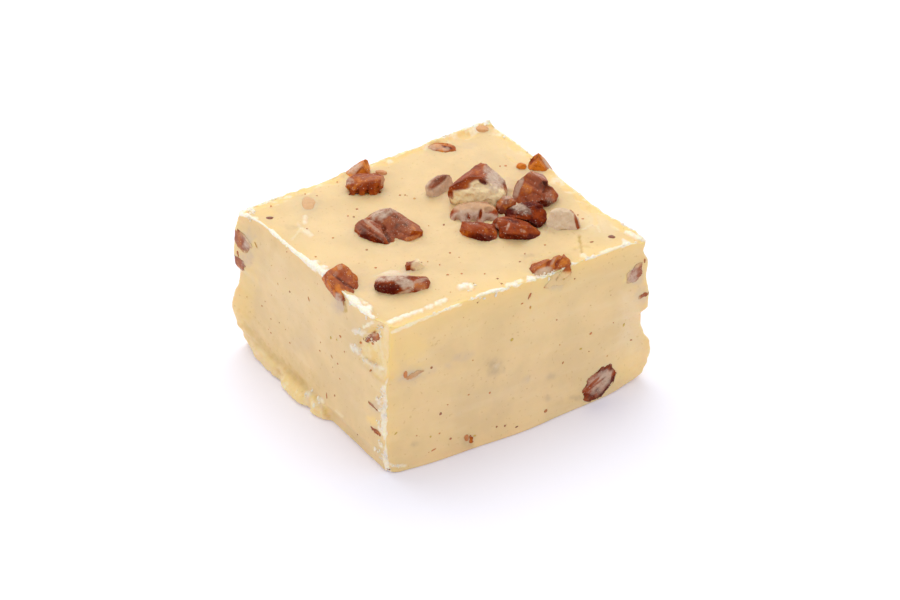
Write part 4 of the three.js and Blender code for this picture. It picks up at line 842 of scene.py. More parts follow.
class Shader:
    """A material's node tree, with short calls to add and join nodes."""

    def __init__(self, name):
        self.material = bpy.data.materials.get(name) or bpy.data.materials.new(name)
        self.material.use_nodes = True
        self.tree = self.material.node_tree
        self.tree.nodes.clear()
        self.surface = self.tree.nodes.new("ShaderNodeBsdfPrincipled")
        output = self.tree.nodes.new("ShaderNodeOutputMaterial")
        self.tree.links.new(self.surface.outputs["BSDF"], output.inputs["Surface"])
        self.place = self.tree.nodes.new("ShaderNodeTexCoord").outputs["Object"]

    def set(self, values):
        """Sets the surface's sockets that are the same all over it."""
        for key, value in values.items():
            self.surface.inputs[key].default_value = value

    def join(self, source, target):
        """Links a socket to a target, or sets the target to a plain value."""
        if isinstance(source, bpy.types.NodeSocket):
            self.tree.links.new(source, target)
        else:
            target.default_value = source

    def mark(self, name):
        """A mark that the mesh carries."""
        node = self.tree.nodes.new("ShaderNodeAttribute")
        node.attribute_name = name
        return node.outputs["Fac"]

    def noise(self, size_mm, detail=3.0, roughness=0.55, stretch=None):
        """Noise with lumps of a size, stretched along the axes if asked."""
        node = self.tree.nodes.new("ShaderNodeTexNoise")
        node.inputs["Scale"].default_value = 1 / (size_mm * MM)
        node.inputs["Detail"].default_value = detail
        node.inputs["Roughness"].default_value = roughness
        place = self.place
        if stretch:
            mapping = self.tree.nodes.new("ShaderNodeMapping")
            mapping.inputs["Scale"].default_value = stretch
            self.tree.links.new(self.place, mapping.inputs["Vector"])
            place = mapping.outputs["Vector"]
        self.tree.links.new(place, node.inputs["Vector"])
        return node.outputs["Fac"]

    def between(self, value, low, high, out_low=0.0, out_high=1.0):
        """A value's smooth step from out_low at low to out_high at high."""
        node = self.tree.nodes.new("ShaderNodeMapRange")
        node.interpolation_type = "SMOOTHSTEP"
        self.join(value, node.inputs["Value"])
        for key, number in zip(("From Min", "From Max", "To Min", "To Max"), (low, high, out_low, out_high)):
            node.inputs[key].default_value = number
        return node.outputs["Result"]

    def combine(self, kind, first, second):
        """Two values worked together, kept from 0 to 1."""
        node = self.tree.nodes.new("ShaderNodeMath")
        node.operation = kind
        node.use_clamp = True
        self.join(first, node.inputs[0])
        self.join(second, node.inputs[1])
        return node.outputs[0]

    def plus(self, first, second):
        """Two values' sum."""
        return self.combine("ADD", first, second)

    def times(self, first, second):
        """Two values' product."""
        return self.combine("MULTIPLY", first, second)

    def blend(self, amount, first, second):
        """A colour that goes from the first to the second with the amount."""
        node = self.tree.nodes.new("ShaderNodeMix")
        node.data_type = "RGBA"
        self.join(amount, node.inputs[0])
        for source, target in ((first, node.inputs[6]), (second, node.inputs[7])):
            self.join(source if isinstance(source, bpy.types.NodeSocket) else (*source, 1.0), target)
        return node.outputs[2]

    def bump(self, height, strength, distance_mm):
        """Fine relief that the mesh is too coarse to hold."""
        node = self.tree.nodes.new("ShaderNodeBump")
        node.inputs["Strength"].default_value = strength
        node.inputs["Distance"].default_value = distance_mm * MM
        self.join(height, node.inputs["Height"])
        self.tree.links.new(node.outputs["Normal"], self.surface.inputs["Normal"])


def fudge_material(colours):
    """Dense cream fudge: satin, a little translucent, yellower at its edges, white where it crumbles."""
    s = Shader("cream_fudge")
    frost, rind, stain_and_shade, veil_and_shade, crease_shade = (s.mark(key) for key in FUDGE_MARKS)
    cream = Vector(colours.cream)
    colour = s.blend(s.between(s.noise(6.5, 4.0), 0.35, 0.65), cream * 0.94, cream * 1.03)
    drag = s.noise(3.0, 3.0, 0.5, stretch=(0.35, 0.35, 1.6))
    colour = s.blend(s.between(drag, 0.45, 0.75, 0.0, 0.2), colour, WIRE_DRAG)
    colour = s.blend(s.times(rind, 0.85), colour, colours.butter)
    pore = s.between(s.noise(0.5, 1.0, 0.4), 0.68, 0.76, 0.0, 0.35)
    colour = s.blend(pore, colour, PORE)
    patch = s.between(s.noise(1.0, 3.0, 0.6), 0.3, 0.65, 0.5, 1.0)
    # Stain, veil and crease tints: real stains and fudge film, and painted shade round the nuts and in
    # creases and cracks
    for mark, tint in ((stain_and_shade, colours.stain_and_shade), (veil_and_shade, colours.film_and_sheen), (crease_shade, colours.crease_shade)):
        colour = s.blend(s.times(mark, patch), colour, tint)
    crumb = s.between(s.noise(0.45, 3.0, 0.65), 0.3, 0.6, 0.6, 1.0)
    colour = s.blend(s.times(frost, crumb), colour, colours.frost)
    s.join(colour, s.surface.inputs["Base Color"])
    gloss = s.between(s.noise(2.2, 3.0), 0.3, 0.7, 0.36, 0.5)
    s.join(s.plus(gloss, s.times(frost, 0.3)), s.surface.inputs["Roughness"])
    s.set({"Subsurface Weight": 0.45, "Subsurface Radius": (1.0, 0.55, 0.2), "Subsurface Scale": 1.8 * MM,
           "IOR": 1.46, "Specular IOR Level": 0.4})
    grit = s.times(s.noise(0.5, 4.0, 0.6), 0.6)
    s.bump(s.plus(grit, s.times(drag, 0.4)), 0.42, 0.12)
    return s.material


def pecan_material(colours):
    """Pecan kernel: satin red-brown skin, pale grainy flesh, smears of fudge and sugar specks."""
    s = Shader("pecan_kernel")
    flesh, cream, film_and_sheen, dust, cover, tone = (s.mark(key) for key in PECAN_MARKS)
    # The tone mark carries the skin's own tone, and also painted shade and light from the patches and creases
    mottled = s.plus(tone, s.between(s.noise(1.4, 4.0, 0.6), 0.3, 0.7, -0.16, 0.16))
    skin = s.blend(s.between(mottled, 0.0, 0.55), colours.skin_light, colours.skin_brown)
    skin = s.blend(s.between(mottled, 0.5, 1.0), skin, colours.skin_dark)
    vein = s.between(s.noise(0.35, 3.0, 0.6), 0.56, 0.72, 0.0, 0.22)
    skin = s.blend(vein, skin, VEIN)
    pale = Vector(colours.flesh)
    meat = s.blend(s.between(s.noise(0.9, 4.0, 0.65), 0.35, 0.65), pale * 0.84, pale * 1.1)
    meat = s.blend(cream, meat, colours.meat_cream)
    pit = s.between(s.noise(0.5, 2.0, 0.5), 0.62, 0.72, 0.0, 0.18)
    meat = s.blend(pit, meat, PIT)
    colour = s.blend(flesh, skin, meat)
    # Film mark: smeared fudge, with the painted sheen and glints
    smear = s.times(film_and_sheen, s.between(s.noise(0.9, 4.0, 0.65), 0.3, 0.56, 0.25, 1.0))
    haze = s.times(dust, s.between(s.noise(0.7, 4.0, 0.7), 0.3, 0.7, 0.1, 0.5))
    for amount in (smear, haze):
        colour = s.blend(amount, colour, colours.film_and_sheen)
    grains = s.plus(s.noise(0.24, 2.0, 0.55), s.times(dust, 0.12))
    colour = s.blend(s.between(grains, 0.655, 0.72, 0.0, 0.6), colour, colours.sugar)
    colour = s.blend(cover, colour, colours.cream)
    s.join(colour, s.surface.inputs["Base Color"])
    gloss = s.between(s.noise(0.8, 3.0), 0.3, 0.7, 0.24, 0.42)
    dull = s.plus(s.times(flesh, 0.2), s.times(film_and_sheen, 0.15))
    s.join(s.plus(gloss, dull), s.surface.inputs["Roughness"])
    s.set({"Subsurface Weight": 0.1, "Subsurface Radius": (1.0, 0.5, 0.25), "Subsurface Scale": 0.6 * MM,
           "Specular IOR Level": 0.12, "Specular Tint": (1.0, 0.7, 0.5, 1.0)})
    s.bump(s.noise(0.3, 4.0, 0.65), 0.45, 0.1)
    return s.material


def crumb_material(colours):
    """Loose fudge crumbs: dry and pale."""
    s = Shader("fudge_crumb")
    shade = s.between(s.noise(0.6, 3.0), 0.3, 0.7)
    dry = Vector(colours.frost).lerp(Vector(colours.cream), 0.3)
    s.join(s.blend(shade, dry * 0.96, dry * 1.03), s.surface.inputs["Base Color"])
    s.set({"Roughness": 0.7, "Subsurface Weight": 0.3, "Subsurface Radius": (1.0, 0.7, 0.4),
           "Subsurface Scale": 0.6 * MM})
    s.bump(s.noise(0.2, 3.0), 0.4, 0.08)
    return s.material


def speck_material():
    """Tiny bits of nut in the fudge, from olive-yellow to dark brown."""
    s = Shader("nut_speck")
    tone = s.mark("tone")
    colour = s.blend(s.between(tone, 0.0, 0.35), SPECK_OLIVE, SPECK_ORANGE)
    colour = s.blend(s.between(tone, 0.35, 0.95), colour, SPECK_BROWN)
    shade = s.between(s.noise(0.3, 3.0), 0.3, 0.7, 0.0, 0.15)
    s.join(s.blend(shade, colour, SPECK_BLOOM), s.surface.inputs["Base Color"])
    s.set({"Roughness": 0.5})
    s.bump(s.noise(0.2, 2.0), 0.3, 0.05)
    return s.material


def nut_outlines(height):
    """Points where the top pieces pass through the block's top, and how far each piece stands over it."""
    points, stands = [], []
    for name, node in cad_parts.items():
        if name == "fudge_block":
            continue
        mesh = node.data
        mesh.calc_loop_triangles()
        co = np.empty(len(mesh.vertices) * 3)
        mesh.vertices.foreach_get("co", co)
        co = co.reshape(-1, 3) / MM
        corners = np.empty(len(mesh.loop_triangles) * 3, int)
        mesh.loop_triangles.foreach_get("vertices", corners)
        tri = co[corners.reshape(-1, 3)]
        over = tri[:, :, 2].max(axis=1) > height
        under = tri[:, :, 2].min(axis=1) < height
        stand = co[:, 2].max() - height
        for t in tri[over & under]:
            cross = []
            for a, b in ((0, 1), (1, 2), (2, 0)):
                if (t[a, 2] - height) * (t[b, 2] - height) < 0:
                    share = (height - t[a, 2]) / (t[b, 2] - t[a, 2])
                    cross.append(t[a] + share * (t[b] - t[a]))
            if len(cross) == 2:
                run = cross[1] - cross[0]
                steps = max(2, int(np.linalg.norm(run) / OUTLINE_STEP) + 1)
                points.extend(cross[0] + share * run for share in np.linspace(0, 1, steps))
                stands.extend([stand] * steps)
    return np.array(points), np.array(stands)


def photo_place(points):
    """Where points lie in the photo, in its pixels."""
    away = points - (0, 0, SIGHT_HEIGHT)
    scale = PHOTO_SCALE * SIGHT_DISTANCE / (SIGHT_DISTANCE - away @ SIGHT_BACK)
    across = PHOTO_MIDDLE[0] + away @ SIGHT_RIGHT * scale
    return np.stack([across, PHOTO_MIDDLE[1] - away @ SIGHT_UP * scale], axis=1)


def photo_ray(across, down):
    """The eye and the direction in which it sees one of the photo's pixels."""
    eye = np.array((0, 0, SIGHT_HEIGHT)) + SIGHT_BACK * SIGHT_DISTANCE
    right, up = (across - PHOTO_MIDDLE[0]) / PHOTO_SCALE, (PHOTO_MIDDLE[1] - down) / PHOTO_SCALE
    return Vector(eye), Vector(SIGHT_RIGHT * right + SIGHT_UP * up - SIGHT_BACK * SIGHT_DISTANCE).normalized()


def off_spot(seen, across, down, length, width, turn):
    """Distance of each place in the photo from a spot's middle, 1 on the spot's rim."""
    c, s = math.cos(math.radians(turn)), math.sin(math.radians(turn))
    u, v = seen[:, 0] - across, down - seen[:, 1]
    return np.hypot((u * c + v * s) / length, (v * c - u * s) / width)


def off_line(seen, line):
    """Distance of each place in the photo from a line through the named points."""
    nearest = np.full(len(seen), np.inf)
    for start, end in zip(line[:-1], line[1:]):
        run = np.subtract(end, start)
        share = np.clip((seen - start) @ run / (run @ run), 0, 1)
        nearest = np.minimum(nearest, np.linalg.norm(seen - start - share[:, None] * run, axis=1))
    return nearest


class FUDGE_OT_block(bpy.types.Operator):
    """Build the fudge block with its frosted, crumbly edges"""
    bl_idname = "fudge.make_block"
    bl_label = "Fudge block"

    def execute(self, context):
        sizes = context.scene.fudge_sizes
        form = BlockForm(sizes)
        plain, quads, ring = form.surface(FINISHED_GRID)
        placed = form.place(plain)
        normals = point_normals(placed, quads)
        marks = {key: np.zeros(len(plain)) for key in FUDGE_MARKS}
        relief = self.wear_edges(form, plain, marks, sizes.crumbliness / MM)
        relief += self.mark_faces(form, plain, placed, marks)
        hidden = (plain[:, 0] > form.half_x - ON_FACE) | (plain[:, 1] > form.half_y - ON_FACE)
        for key, size, seed in HIDDEN_CLOUDS:
            cloud = HIDDEN_STRENGTH * ramp(0.35, 0.65, grain(plain, size, seed))
            lay(marks[key], np.where(hidden, cloud, 0))
        placed += normals * relief[:, None]
        placed += form.centring()
        self.climb_nuts(form, plain, placed, marks, sizes.meniscus / MM)
        new_piece("fudge_block_worn", placed, quads.tolist() + [ring.tolist()],
                  fudge_material(context.scene.fudge_colours), marks, ["fudge_block"])
        return {"FINISHED"}

    def wear_edges(self, form, plain, marks, crumbliness):
        """Marks the frosted and yellow edges and returns how far they stand out."""
        x, y, z = plain.T
        left, right = x + form.half_x, form.half_x - x
        front, back, down = y + form.half_y, form.half_y - y, form.height - z
        on_top, on_left, on_front, on_back = (gap < ON_FACE for gap in (down, left, front, back))
        ragged = grain(plain, 0.9, 3)
        frost, rind = marks["frost"], marks["rind"]
        burr = torn = np.zeros(len(plain))

        # Each edge: the gaps to its two faces, the face with the full width of frosting, the place along
        # it, the widths there, how ragged the border is and how far it is worn away
        edges = [(left, down, on_top, y, LEFT_FROST, 0.7, 0),
                 (front, down, on_top, x, FRONT_FROST, 2.2, 0.5),
                 (back, down, on_top, x, BACK_FROST, 0.9, 0.2),
                 (right, down, on_top, y, RIGHT_FROST, 0.9, 0.2),
                 (left, front, on_left, z, FRONT_LEFT_FROST, 1.6, -0.1),
                 (right, front, on_top, z, OTHER_FROST, 1.1, 0.45),
                 (left, back, on_left, z, OTHER_FROST, 1.1, 0.45),
                 (right, back, on_back, z, OTHER_FROST, 1.1, 0.45)]
        for first, second, full, run, table, rough, worn in edges:
            distance, wide = np.hypot(first, second), along(table, run)
            width = wide * np.where(full, 1.0, 0.15 if table is FRONT_LEFT_FROST else 0.35)
            mark = ramp(1.0, 0.5, distance / width + rough * ragged + worn) * ramp(*FROST_START, wide)
            if table is LEFT_FROST:
                burr = mark
            if table is FRONT_LEFT_FROST:
                torn = mark
                mark = 0.75 * mark
            lay(frost, mark)
            glow, reach = FRONT_GLOW if table is FRONT_FROST else EDGE_GLOW
            lay(rind, glow * np.exp(-distance / reach))

        # The crust on the top's two far edges
        far = np.minimum(np.where(on_top, back, 9), np.where(on_top, right, 9))
        crust = ramp(*CRUST_WIDTH, far + 1.1 * lumps(plain, 1.6, 11))
        lay(rind, 0.75 * crust)
        lay(frost, 0.55 * crust * ramp(0.15, 0.5, grain(plain, 1.3, 43)))

        # The lip at the left side's foot
        lip = np.where(on_left, np.clip(along(LIP_RUN, y), 0, 1) * ramp(*LIP_TOP, z), 0)
        lay(rind, 0.95 * lip)
        lay(frost, lip * (0.12 + 0.5 * ramp(0.05, 0.6, grain(plain, 0.9, 53))))

        # Fresh fudge where the flake broke off, carried round the upright edge on to the front
        fresh = ramp(*FRESH_DEPTH, np.where(on_left, form.chip(y, z), 0))
        turned = np.where(on_front, ramp(*TURNED_WIDTH, left + 0.8 * ragged) * ramp(*CHIP_FOOT, z), 0)
        for part in (fresh, turned):
            frost *= 1 - 0.85 * part
            lay(rind, 0.9 * part)
        lay(rind, 0.9 * np.where(on_front, ramp(*BESIDE_WIDTH, left) * ramp(*BESIDE_FOOT, z), 0))
        fresh = np.where(on_left, np.maximum(fresh, turned), 0)
        lay(frost, 0.4 * fresh * ramp(0.3, 1.8, front) * ramp(-0.6, 0.4, grain(plain, 1.1, 35)))

        rough = frost * (1 - 0.75 * burr)
        relief = crumbliness * rough * grain(plain, 0.55, 21) + burr * (0.2 + 0.09 * grain(plain, 0.7, 25))
        relief += 0.3 * torn * grain(plain, 1.2, 23)
        relief += 0.16 * fresh * grain(plain, 0.9, 31)
        relief += crust * (0.22 * grain(plain, 1.1, 41) - 0.08)
        return relief + 0.38 * lip * grain(plain, 1.1, 51) + 0.02 * grain(plain, 2.4, 61)

    def mark_faces(self, form, plain, placed, marks):
        """Marks stains, film, painted shade in creases and beside nuts, and flakes on the faces and returns
        how far they stand out.
        """
        here = {"top": plain[:, 2] > form.height - ON_FACE, "front": plain[:, 1] < ON_FACE - form.half_y,
                "left": plain[:, 0] < ON_FACE - form.half_x}
        seen = photo_place(placed)
        ragged, flaky = grain(plain, 0.8, 5), grain(plain, 0.5, 9)
        relief = np.zeros(len(plain))
        for (side, kind), spots in SPOTS.items():
            for *spot, strength, lift in spots:
                mark = np.where(here[side], ramp(*SPOT_BORDER, off_spot(seen, *spot) + 0.4 * ragged), 0)
                relief += lift * mark
                lay(marks[kind], strength * mark)
        for (side, kind), streaks in STREAKS.items():
            for line, half, strength, lift in streaks:
                off = off_line(seen, line) / half + 0.5 * ragged + 0.5 * flaky
                mark = np.where(here[side], ramp(*STREAK_BORDER, off), 0)
                relief += lift * mark
                lay(marks[kind], strength * mark)
        return relief

    def climb_nuts(self, form, plain, placed, marks, climb):
        """Draws the fudge a little up each nut on the top and paints shade round each nut there."""
        outline, stands = nut_outlines(form.height)
        tree = KDTree(len(outline))
        for i, point in enumerate(outline):
            tree.insert((point[0], point[1], 0), i)
        tree.balance()
        uneven = grain(plain, 1.4, 71)
        for i in np.flatnonzero(plain[:, 2] > form.height - ON_FACE):
            _, k, distance = tree.find((placed[i, 0], placed[i, 1], 0))
            lift = min(climb, CLIMB_SHARE * max(stands[k], 0)) * (1 + 0.6 * uneven[i])
            placed[i, 2] += lift * math.exp(-distance / CLIMB_REACH)
            # Painted shade round each nut, a near ring and a wide faint one, laid into the stain mark
            nut_shade = (0.2 + 0.15 * uneven[i]) * math.exp(-distance / NUT_SHADE_REACH)
            nut_shade += 0.09 * math.exp(-distance / WIDE_NUT_SHADE_REACH)
            marks["stain_and_shade"][i] = max(marks["stain_and_shade"][i], nut_shade)


def even_mesh(node, voxel):
    """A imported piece's surface as an even fine mesh, in millimetres: points and quads."""
    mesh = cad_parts[node].data.copy()
    mesh.transform(Matrix.Scale(1 / MM, 4))
    work = bpy.data.objects.new("kernel_work", mesh)
    bpy.context.scene.collection.objects.link(work)
    remesh = work.modifiers.new("even", "REMESH")
    remesh.mode = "VOXEL"
    remesh.voxel_size = voxel
    bpy.context.view_layer.update()
    made = work.evaluated_get(bpy.context.evaluated_depsgraph_get()).to_mesh()
    points = np.empty(len(made.vertices) * 3)
    made.vertices.foreach_get("co", points)
    quads = np.empty(len(made.polygons) * 4, int)
    if len(made.loops) != len(quads):
        raise RuntimeError(f"{node}: the even mesh isn't all quads")
    made.loops.foreach_get("vertex_index", quads)
    bpy.data.objects.remove(work)
    bpy.data.meshes.remove(mesh)
    return points.reshape(-1, 3), quads.reshape(-1, 4)


def relax(points, quads, rounds):
    """Points moved towards the middle of their neighbours."""
    pairs = np.concatenate([quads[:, (k, (k + 1) % 4)] for k in range(4)])
    count = np.zeros(len(points))
    np.add.at(count, pairs[:, 0], 1)
    np.add.at(count, pairs[:, 1], 1)
    for _ in range(rounds):
        total = np.zeros_like(points)
        np.add.at(total, pairs[:, 0], points[pairs[:, 1]])
        np.add.at(total, pairs[:, 1], points[pairs[:, 0]])
        points = points + RELAX_SHARE * (total / count[:, None] - points)
    return points


def chopped(points, facets):
    """Points pressed flat on each facet: (right, up, to the eye, share of the piece's reach that way)."""
    for right, up, eye, share in facets:
        way = right * SIGHT_RIGHT + up * SIGHT_UP + eye * SIGHT_BACK
        way /= np.linalg.norm(way)
        reach = (points - points.mean(axis=0)) @ way
        points = points - np.outer(np.maximum(reach - share * reach.max(), 0), way)
    return points


def long_axis(points):
    """Unit direction in which a piece is longest."""
    return np.linalg.svd(points - points.mean(axis=0), full_matrices=False)[2][0]


def stretch(points, way, factor):
    """Points spread from their middle along a direction."""
    return points + np.outer((points - points.mean(axis=0)) @ way, way) * (factor - 1)


def outer_edges(points, quads, normals):
    """1 on a piece's sharp outer edges, 0 where it is flat or hollow."""
    return ramp(*EDGE_STAND, ((points - relax(points, quads, 1)) * normals).sum(axis=1))


def patched(seen, rows, kind, ragged):
    """How far each point belongs to the patches of a kind, with a ragged border."""
    mark = np.zeros(len(seen))
    for what, *spot, strength in rows:
        if what == kind:
            lay(mark, strength * ramp(*PATCH_BORDER, off_spot(seen, *spot) + 0.35 * ragged))
    return mark


class FUDGE_OT_pecans(bpy.types.Operator):
    """Build every chopped pecan piece, on the top and in the sides"""
    bl_idname = "fudge.set_pecans"
    bl_label = "Pecan pieces"

    def execute(self, context):
        form = BlockForm(context.scene.fudge_sizes)
        shift = form.centring()
        tree = form.tree(shift)
        material = pecan_material(context.scene.fudge_colours)
        names = sorted(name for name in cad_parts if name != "fudge_block")
        for seed, name in enumerate(names):
            self.set_piece(name, LOOKS.get(name, CUT_LOOK), seed, tree, shift, material)
        return {"FINISHED"}

    def shape_piece(self, name, look):
        """A piece's evened, chopped, moved and stretched form: points, quads and normals."""
        low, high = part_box(name)
        length = max(np.array(high) - np.array(low)) / MM
        points, quads = even_mesh(name, VOXEL if length > SMALL_LENGTH else SMALL_VOXEL)
        points = chopped(relax(points, quads, look.get("smooth", 1)), look.get("facets", []))
        normals = point_normals(points, quads)
        points = points + look.get("move", (0, 0, 0))
        points[:, 2] -= look.get("lean", 0) * ((points - points.mean(axis=0)) @ SIGHT_NEAR)
        for way, grow in zip((SIGHT_RIGHT, SIGHT_NEAR), look.get("grow", (1, 1))):
            points = stretch(points, way, grow)
        if "widen" in look:
            points = stretch(points, np.cross(long_axis(points), (0, 1, 0)), look["widen"])
        return points, quads, normals

    def set_piece(self, name, look, seed, tree, shift, material):
        """Builds one piece with its skin, its broken flesh and the fudge on it."""
        points, quads, normals = self.shape_piece(name, look)
        worn = outer_edges(points, quads, normals)
        seen, rows = photo_place(points - shift), PATCHES.get(name, [])
        ragged = grain(points, 0.9, seed)

        def patch(kind, border=1.0):
            return patched(seen, rows, kind, border * ragged)

        bare = 1 - np.maximum(patch("bare"), patch("rim"))
        cream = patch("cream") * bare
        flesh = np.maximum(np.maximum(look.get("flesh", 0.0), patch("flesh")) * bare, cream)
        # Painted sheen: a pale on skin that faces up, where the light falls, laid into the film mark
        painted_sheen = look.get("painted_sheen", PAINTED_SHEEN) * ramp(0.2, 0.85, normals[:, 2]) * (1 - flesh)
        film_and_sheen = np.maximum(np.maximum(look.get("film_and_sheen", 0.0), patch("film_and_sheen")) * bare, painted_sheen)
        dust = np.maximum(patch("dust"), 0.25 * worn) * bare
        points -= normals * patch("dent", 0.4)[:, None]
        level = np.zeros(len(points))
        cover = np.maximum(look.get("veiled", 0.0), patch("over"))
        if "cover" in look:
            level, inside = self.level_with_side(points, normals, tree, ragged)
            lay(cover, look["cover"] * level * ramp(0.9, 0.15, inside + 0.45 * ragged) * bare)
            lay(flesh, look.get("inside", 0.0) * level * ramp(0.2, 0.6, inside + 0.2 * ragged))

        drawn = stretch(points, long_axis(points), WRINKLE_DRAW)
        # Creases pressed into the skin; the tone below also paints them darker, as painted shade
        crease_shade = (1 - np.abs(lumps(drawn, 1.3, seed + 70))) ** 6
        wrinkle = 0.1 * grain(drawn, 0.9, seed + 75) + 0.14 * grain(points, 2.0, seed + 80) - 0.16 * crease_shade
        crumb = (0.12 + 0.16 * cream) * grain(points, 0.7, seed + 90)
        crumb += (0.1 + 0.14 * cream) * grain(points, 1.6, seed + 95)
        smear = 0.04 + 0.07 * grain(points, 0.9, seed + 100)
        skin = (1 - flesh) * (1 - 0.5 * film_and_sheen)
        relief = (skin * wrinkle + flesh * crumb + film_and_sheen * smear) * (1 - 0.7 * level)
        # Dark and light patches: the skin's own tone, and also painted shade in grooves, crevices and
        # undersides and painted light on lit sides
        shade = patch("dark", 0.6) - patch("light", 0.6)
        tone = look["tone"] + shade + 0.14 * ragged + 0.16 * crease_shade + 0.12 * grain(drawn, 0.8, seed + 110)
        marks = dict(zip(PECAN_MARKS, (flesh, cream, film_and_sheen, dust, cover, np.clip(tone, 0, 1))))
        new_piece(f"{name}_kernel", points + normals * relief[:, None], quads.tolist(), material,
                  marks, [name])

    def level_with_side(self, points, normals, tree, ragged):
        """Brings a wire-cut face level with the block's side; says which points those are and how far in."""
        level, spots, ways = np.zeros(len(points), bool), points.copy(), np.zeros_like(points)
        for i, (point, normal) in enumerate(zip(points, normals)):
            spot, way, _, distance = tree.find_nearest(Vector(point))
            if distance < LEVEL_GAP and abs(way.z) < LEVEL_SLANT and Vector(normal).dot(way) > LEVEL_FACING:
                level[i] = True
                spots[i], ways[i] = spot, way
        inside = np.zeros(len(points))
        if level.all() or not level.any():
            return level.astype(float), inside
        rim = KDTree(int((~level).sum()))
        for k, point in enumerate(points[~level]):
            rim.insert(point, k)
        rim.balance()
        for i in np.flatnonzero(level):
            inside[i] = rim.find(points[i])[2]
        shown = inside > np.minimum(0.25 + 0.35 * ragged, 0.6 * inside.max())
        stand = np.where(shown, SHOWN_STAND, COVERED_STAND)
        points[level] = spots[level] + (ways * stand[:, None])[level]
        return level.astype(float), inside


def lump_shapes(rng, count):
    """A few uneven closed lumps of about unit radius: points and triangles of each."""
    shapes = []
    for _ in range(count):
        mesh = bpy.data.meshes.new("lump")
        bm = bmesh.new()
        bmesh.ops.create_icosphere(bm, subdivisions=2, radius=1.0)
        bm.to_mesh(mesh)
        bm.free()
        points = np.array([v.co for v in mesh.vertices])
        triangles = np.array([p.vertices for p in mesh.polygons])
        bpy.data.meshes.remove(mesh)
        points *= 1 + 0.35 * grain(points, 0.9, int(rng.integers(1, 9999)))[:, None]
        shapes.append((points, triangles))
    return shapes


def scatter(lumps_wanted, rng, shapes):
    """Lumps at places, flat on their surface: one joined set of points, triangles and tones.

    Each lump is (place, normal, way of its length or None, half sizes, tone)."""
    points, triangles, tones, count = [], [], [], 0
    for place, normal, side, scale, tone in lumps_wanted:
        shape, faces = shapes[int(rng.integers(len(shapes)))]
        normal = np.array(normal, float)
        side = np.cross(normal, rng.normal(size=3)) if side is None else np.array(side, float)
        side /= np.linalg.norm(side)
        other = np.cross(normal, side)
        points.append(place + shape @ (np.array([side, other, normal]) * np.array(scale)[:, None]))
        triangles.append(faces + count)
        tones.append(np.full(len(shape), float(tone)))
        count += len(shape)
    return np.concatenate(points), np.concatenate(triangles), np.concatenate(tones)


class FUDGE_OT_crumbs(bpy.types.Operator):
    """Scatter loose fudge crumbs along the cut edges"""
    bl_idname = "fudge.scatter_crumbs"
    bl_label = "Fudge crumbs"

    def execute(self, context):
        sizes = context.scene.fudge_sizes
        form = BlockForm(sizes)
        rng = np.random.default_rng(sizes.seed)
        half_x, half_y = form.half_x, form.half_y
        rows = [(LEFT_FROST, 0.16, lambda s, d: (-half_x + d, s, form.height), (0, 0, 1)),
                (FRONT_FROST, 0.34, lambda s, d: (s, -half_y + d, form.height), (0, 0, 1)),
                (FRONT_LEFT_FROST, 0.14, lambda s, d: (-half_x, -half_y + d, s), (-1, 0, 0)),
                (BACK_FROST, 0.12, lambda s, d: (s, half_y - d, form.height), (0, 0, 1)),
                (RIGHT_FROST, 0.12, lambda s, d: (half_x - d, s, form.height), (0, 0, 1))]
        plain, wanted = [], []
        for table, share, place, normal in rows:
            runs = np.linspace(table[0][0], table[-1][0], 400)
            weights = along(table, runs) ** 1.5
            for s in rng.choice(runs, int(share * sizes.crumb_count), p=weights / weights.sum()):
                width = float(along(table, s))
                plain.append(place(s, abs(rng.normal()) * 0.45 * (width + 0.1)))
                size = 0.06 + 0.2 * rng.random() ** 2 * (0.5 + 0.5 * width)
                wanted.append((normal, (size * rng.uniform(0.8, 1.9), size, size * rng.uniform(0.35, 0.7))))
        shift = form.centring()
        places = form.place(np.array(plain)) + shift
        wanted = [(place, normal, None, scale, 0) for place, (normal, scale) in zip(places, wanted)]
        tree = form.tree()
        for across, down, width in CRUMB_SPOTS:
            for _ in range(CRUMBS_PER_SPOT):
                spot, normal, _, _ = tree.ray_cast(*photo_ray(*rng.normal((across, down), 0.5 * width)))
                size = 0.5 * width / PHOTO_SCALE * rng.uniform(0.5, 1)
                if spot is not None:
                    scale = size * rng.uniform(0.8, 1.5), size, size * rng.uniform(0.5, 0.9)
                    wanted.append((np.array(spot) + shift, normal, None, scale, 0))
        points, triangles, _ = scatter(wanted, rng, lump_shapes(rng, CRUMB_SHAPES))
        new_piece("fudge_crumbs", points, triangles.tolist(), crumb_material(context.scene.fudge_colours),
                  {}, [])
        return {"FINISHED"}


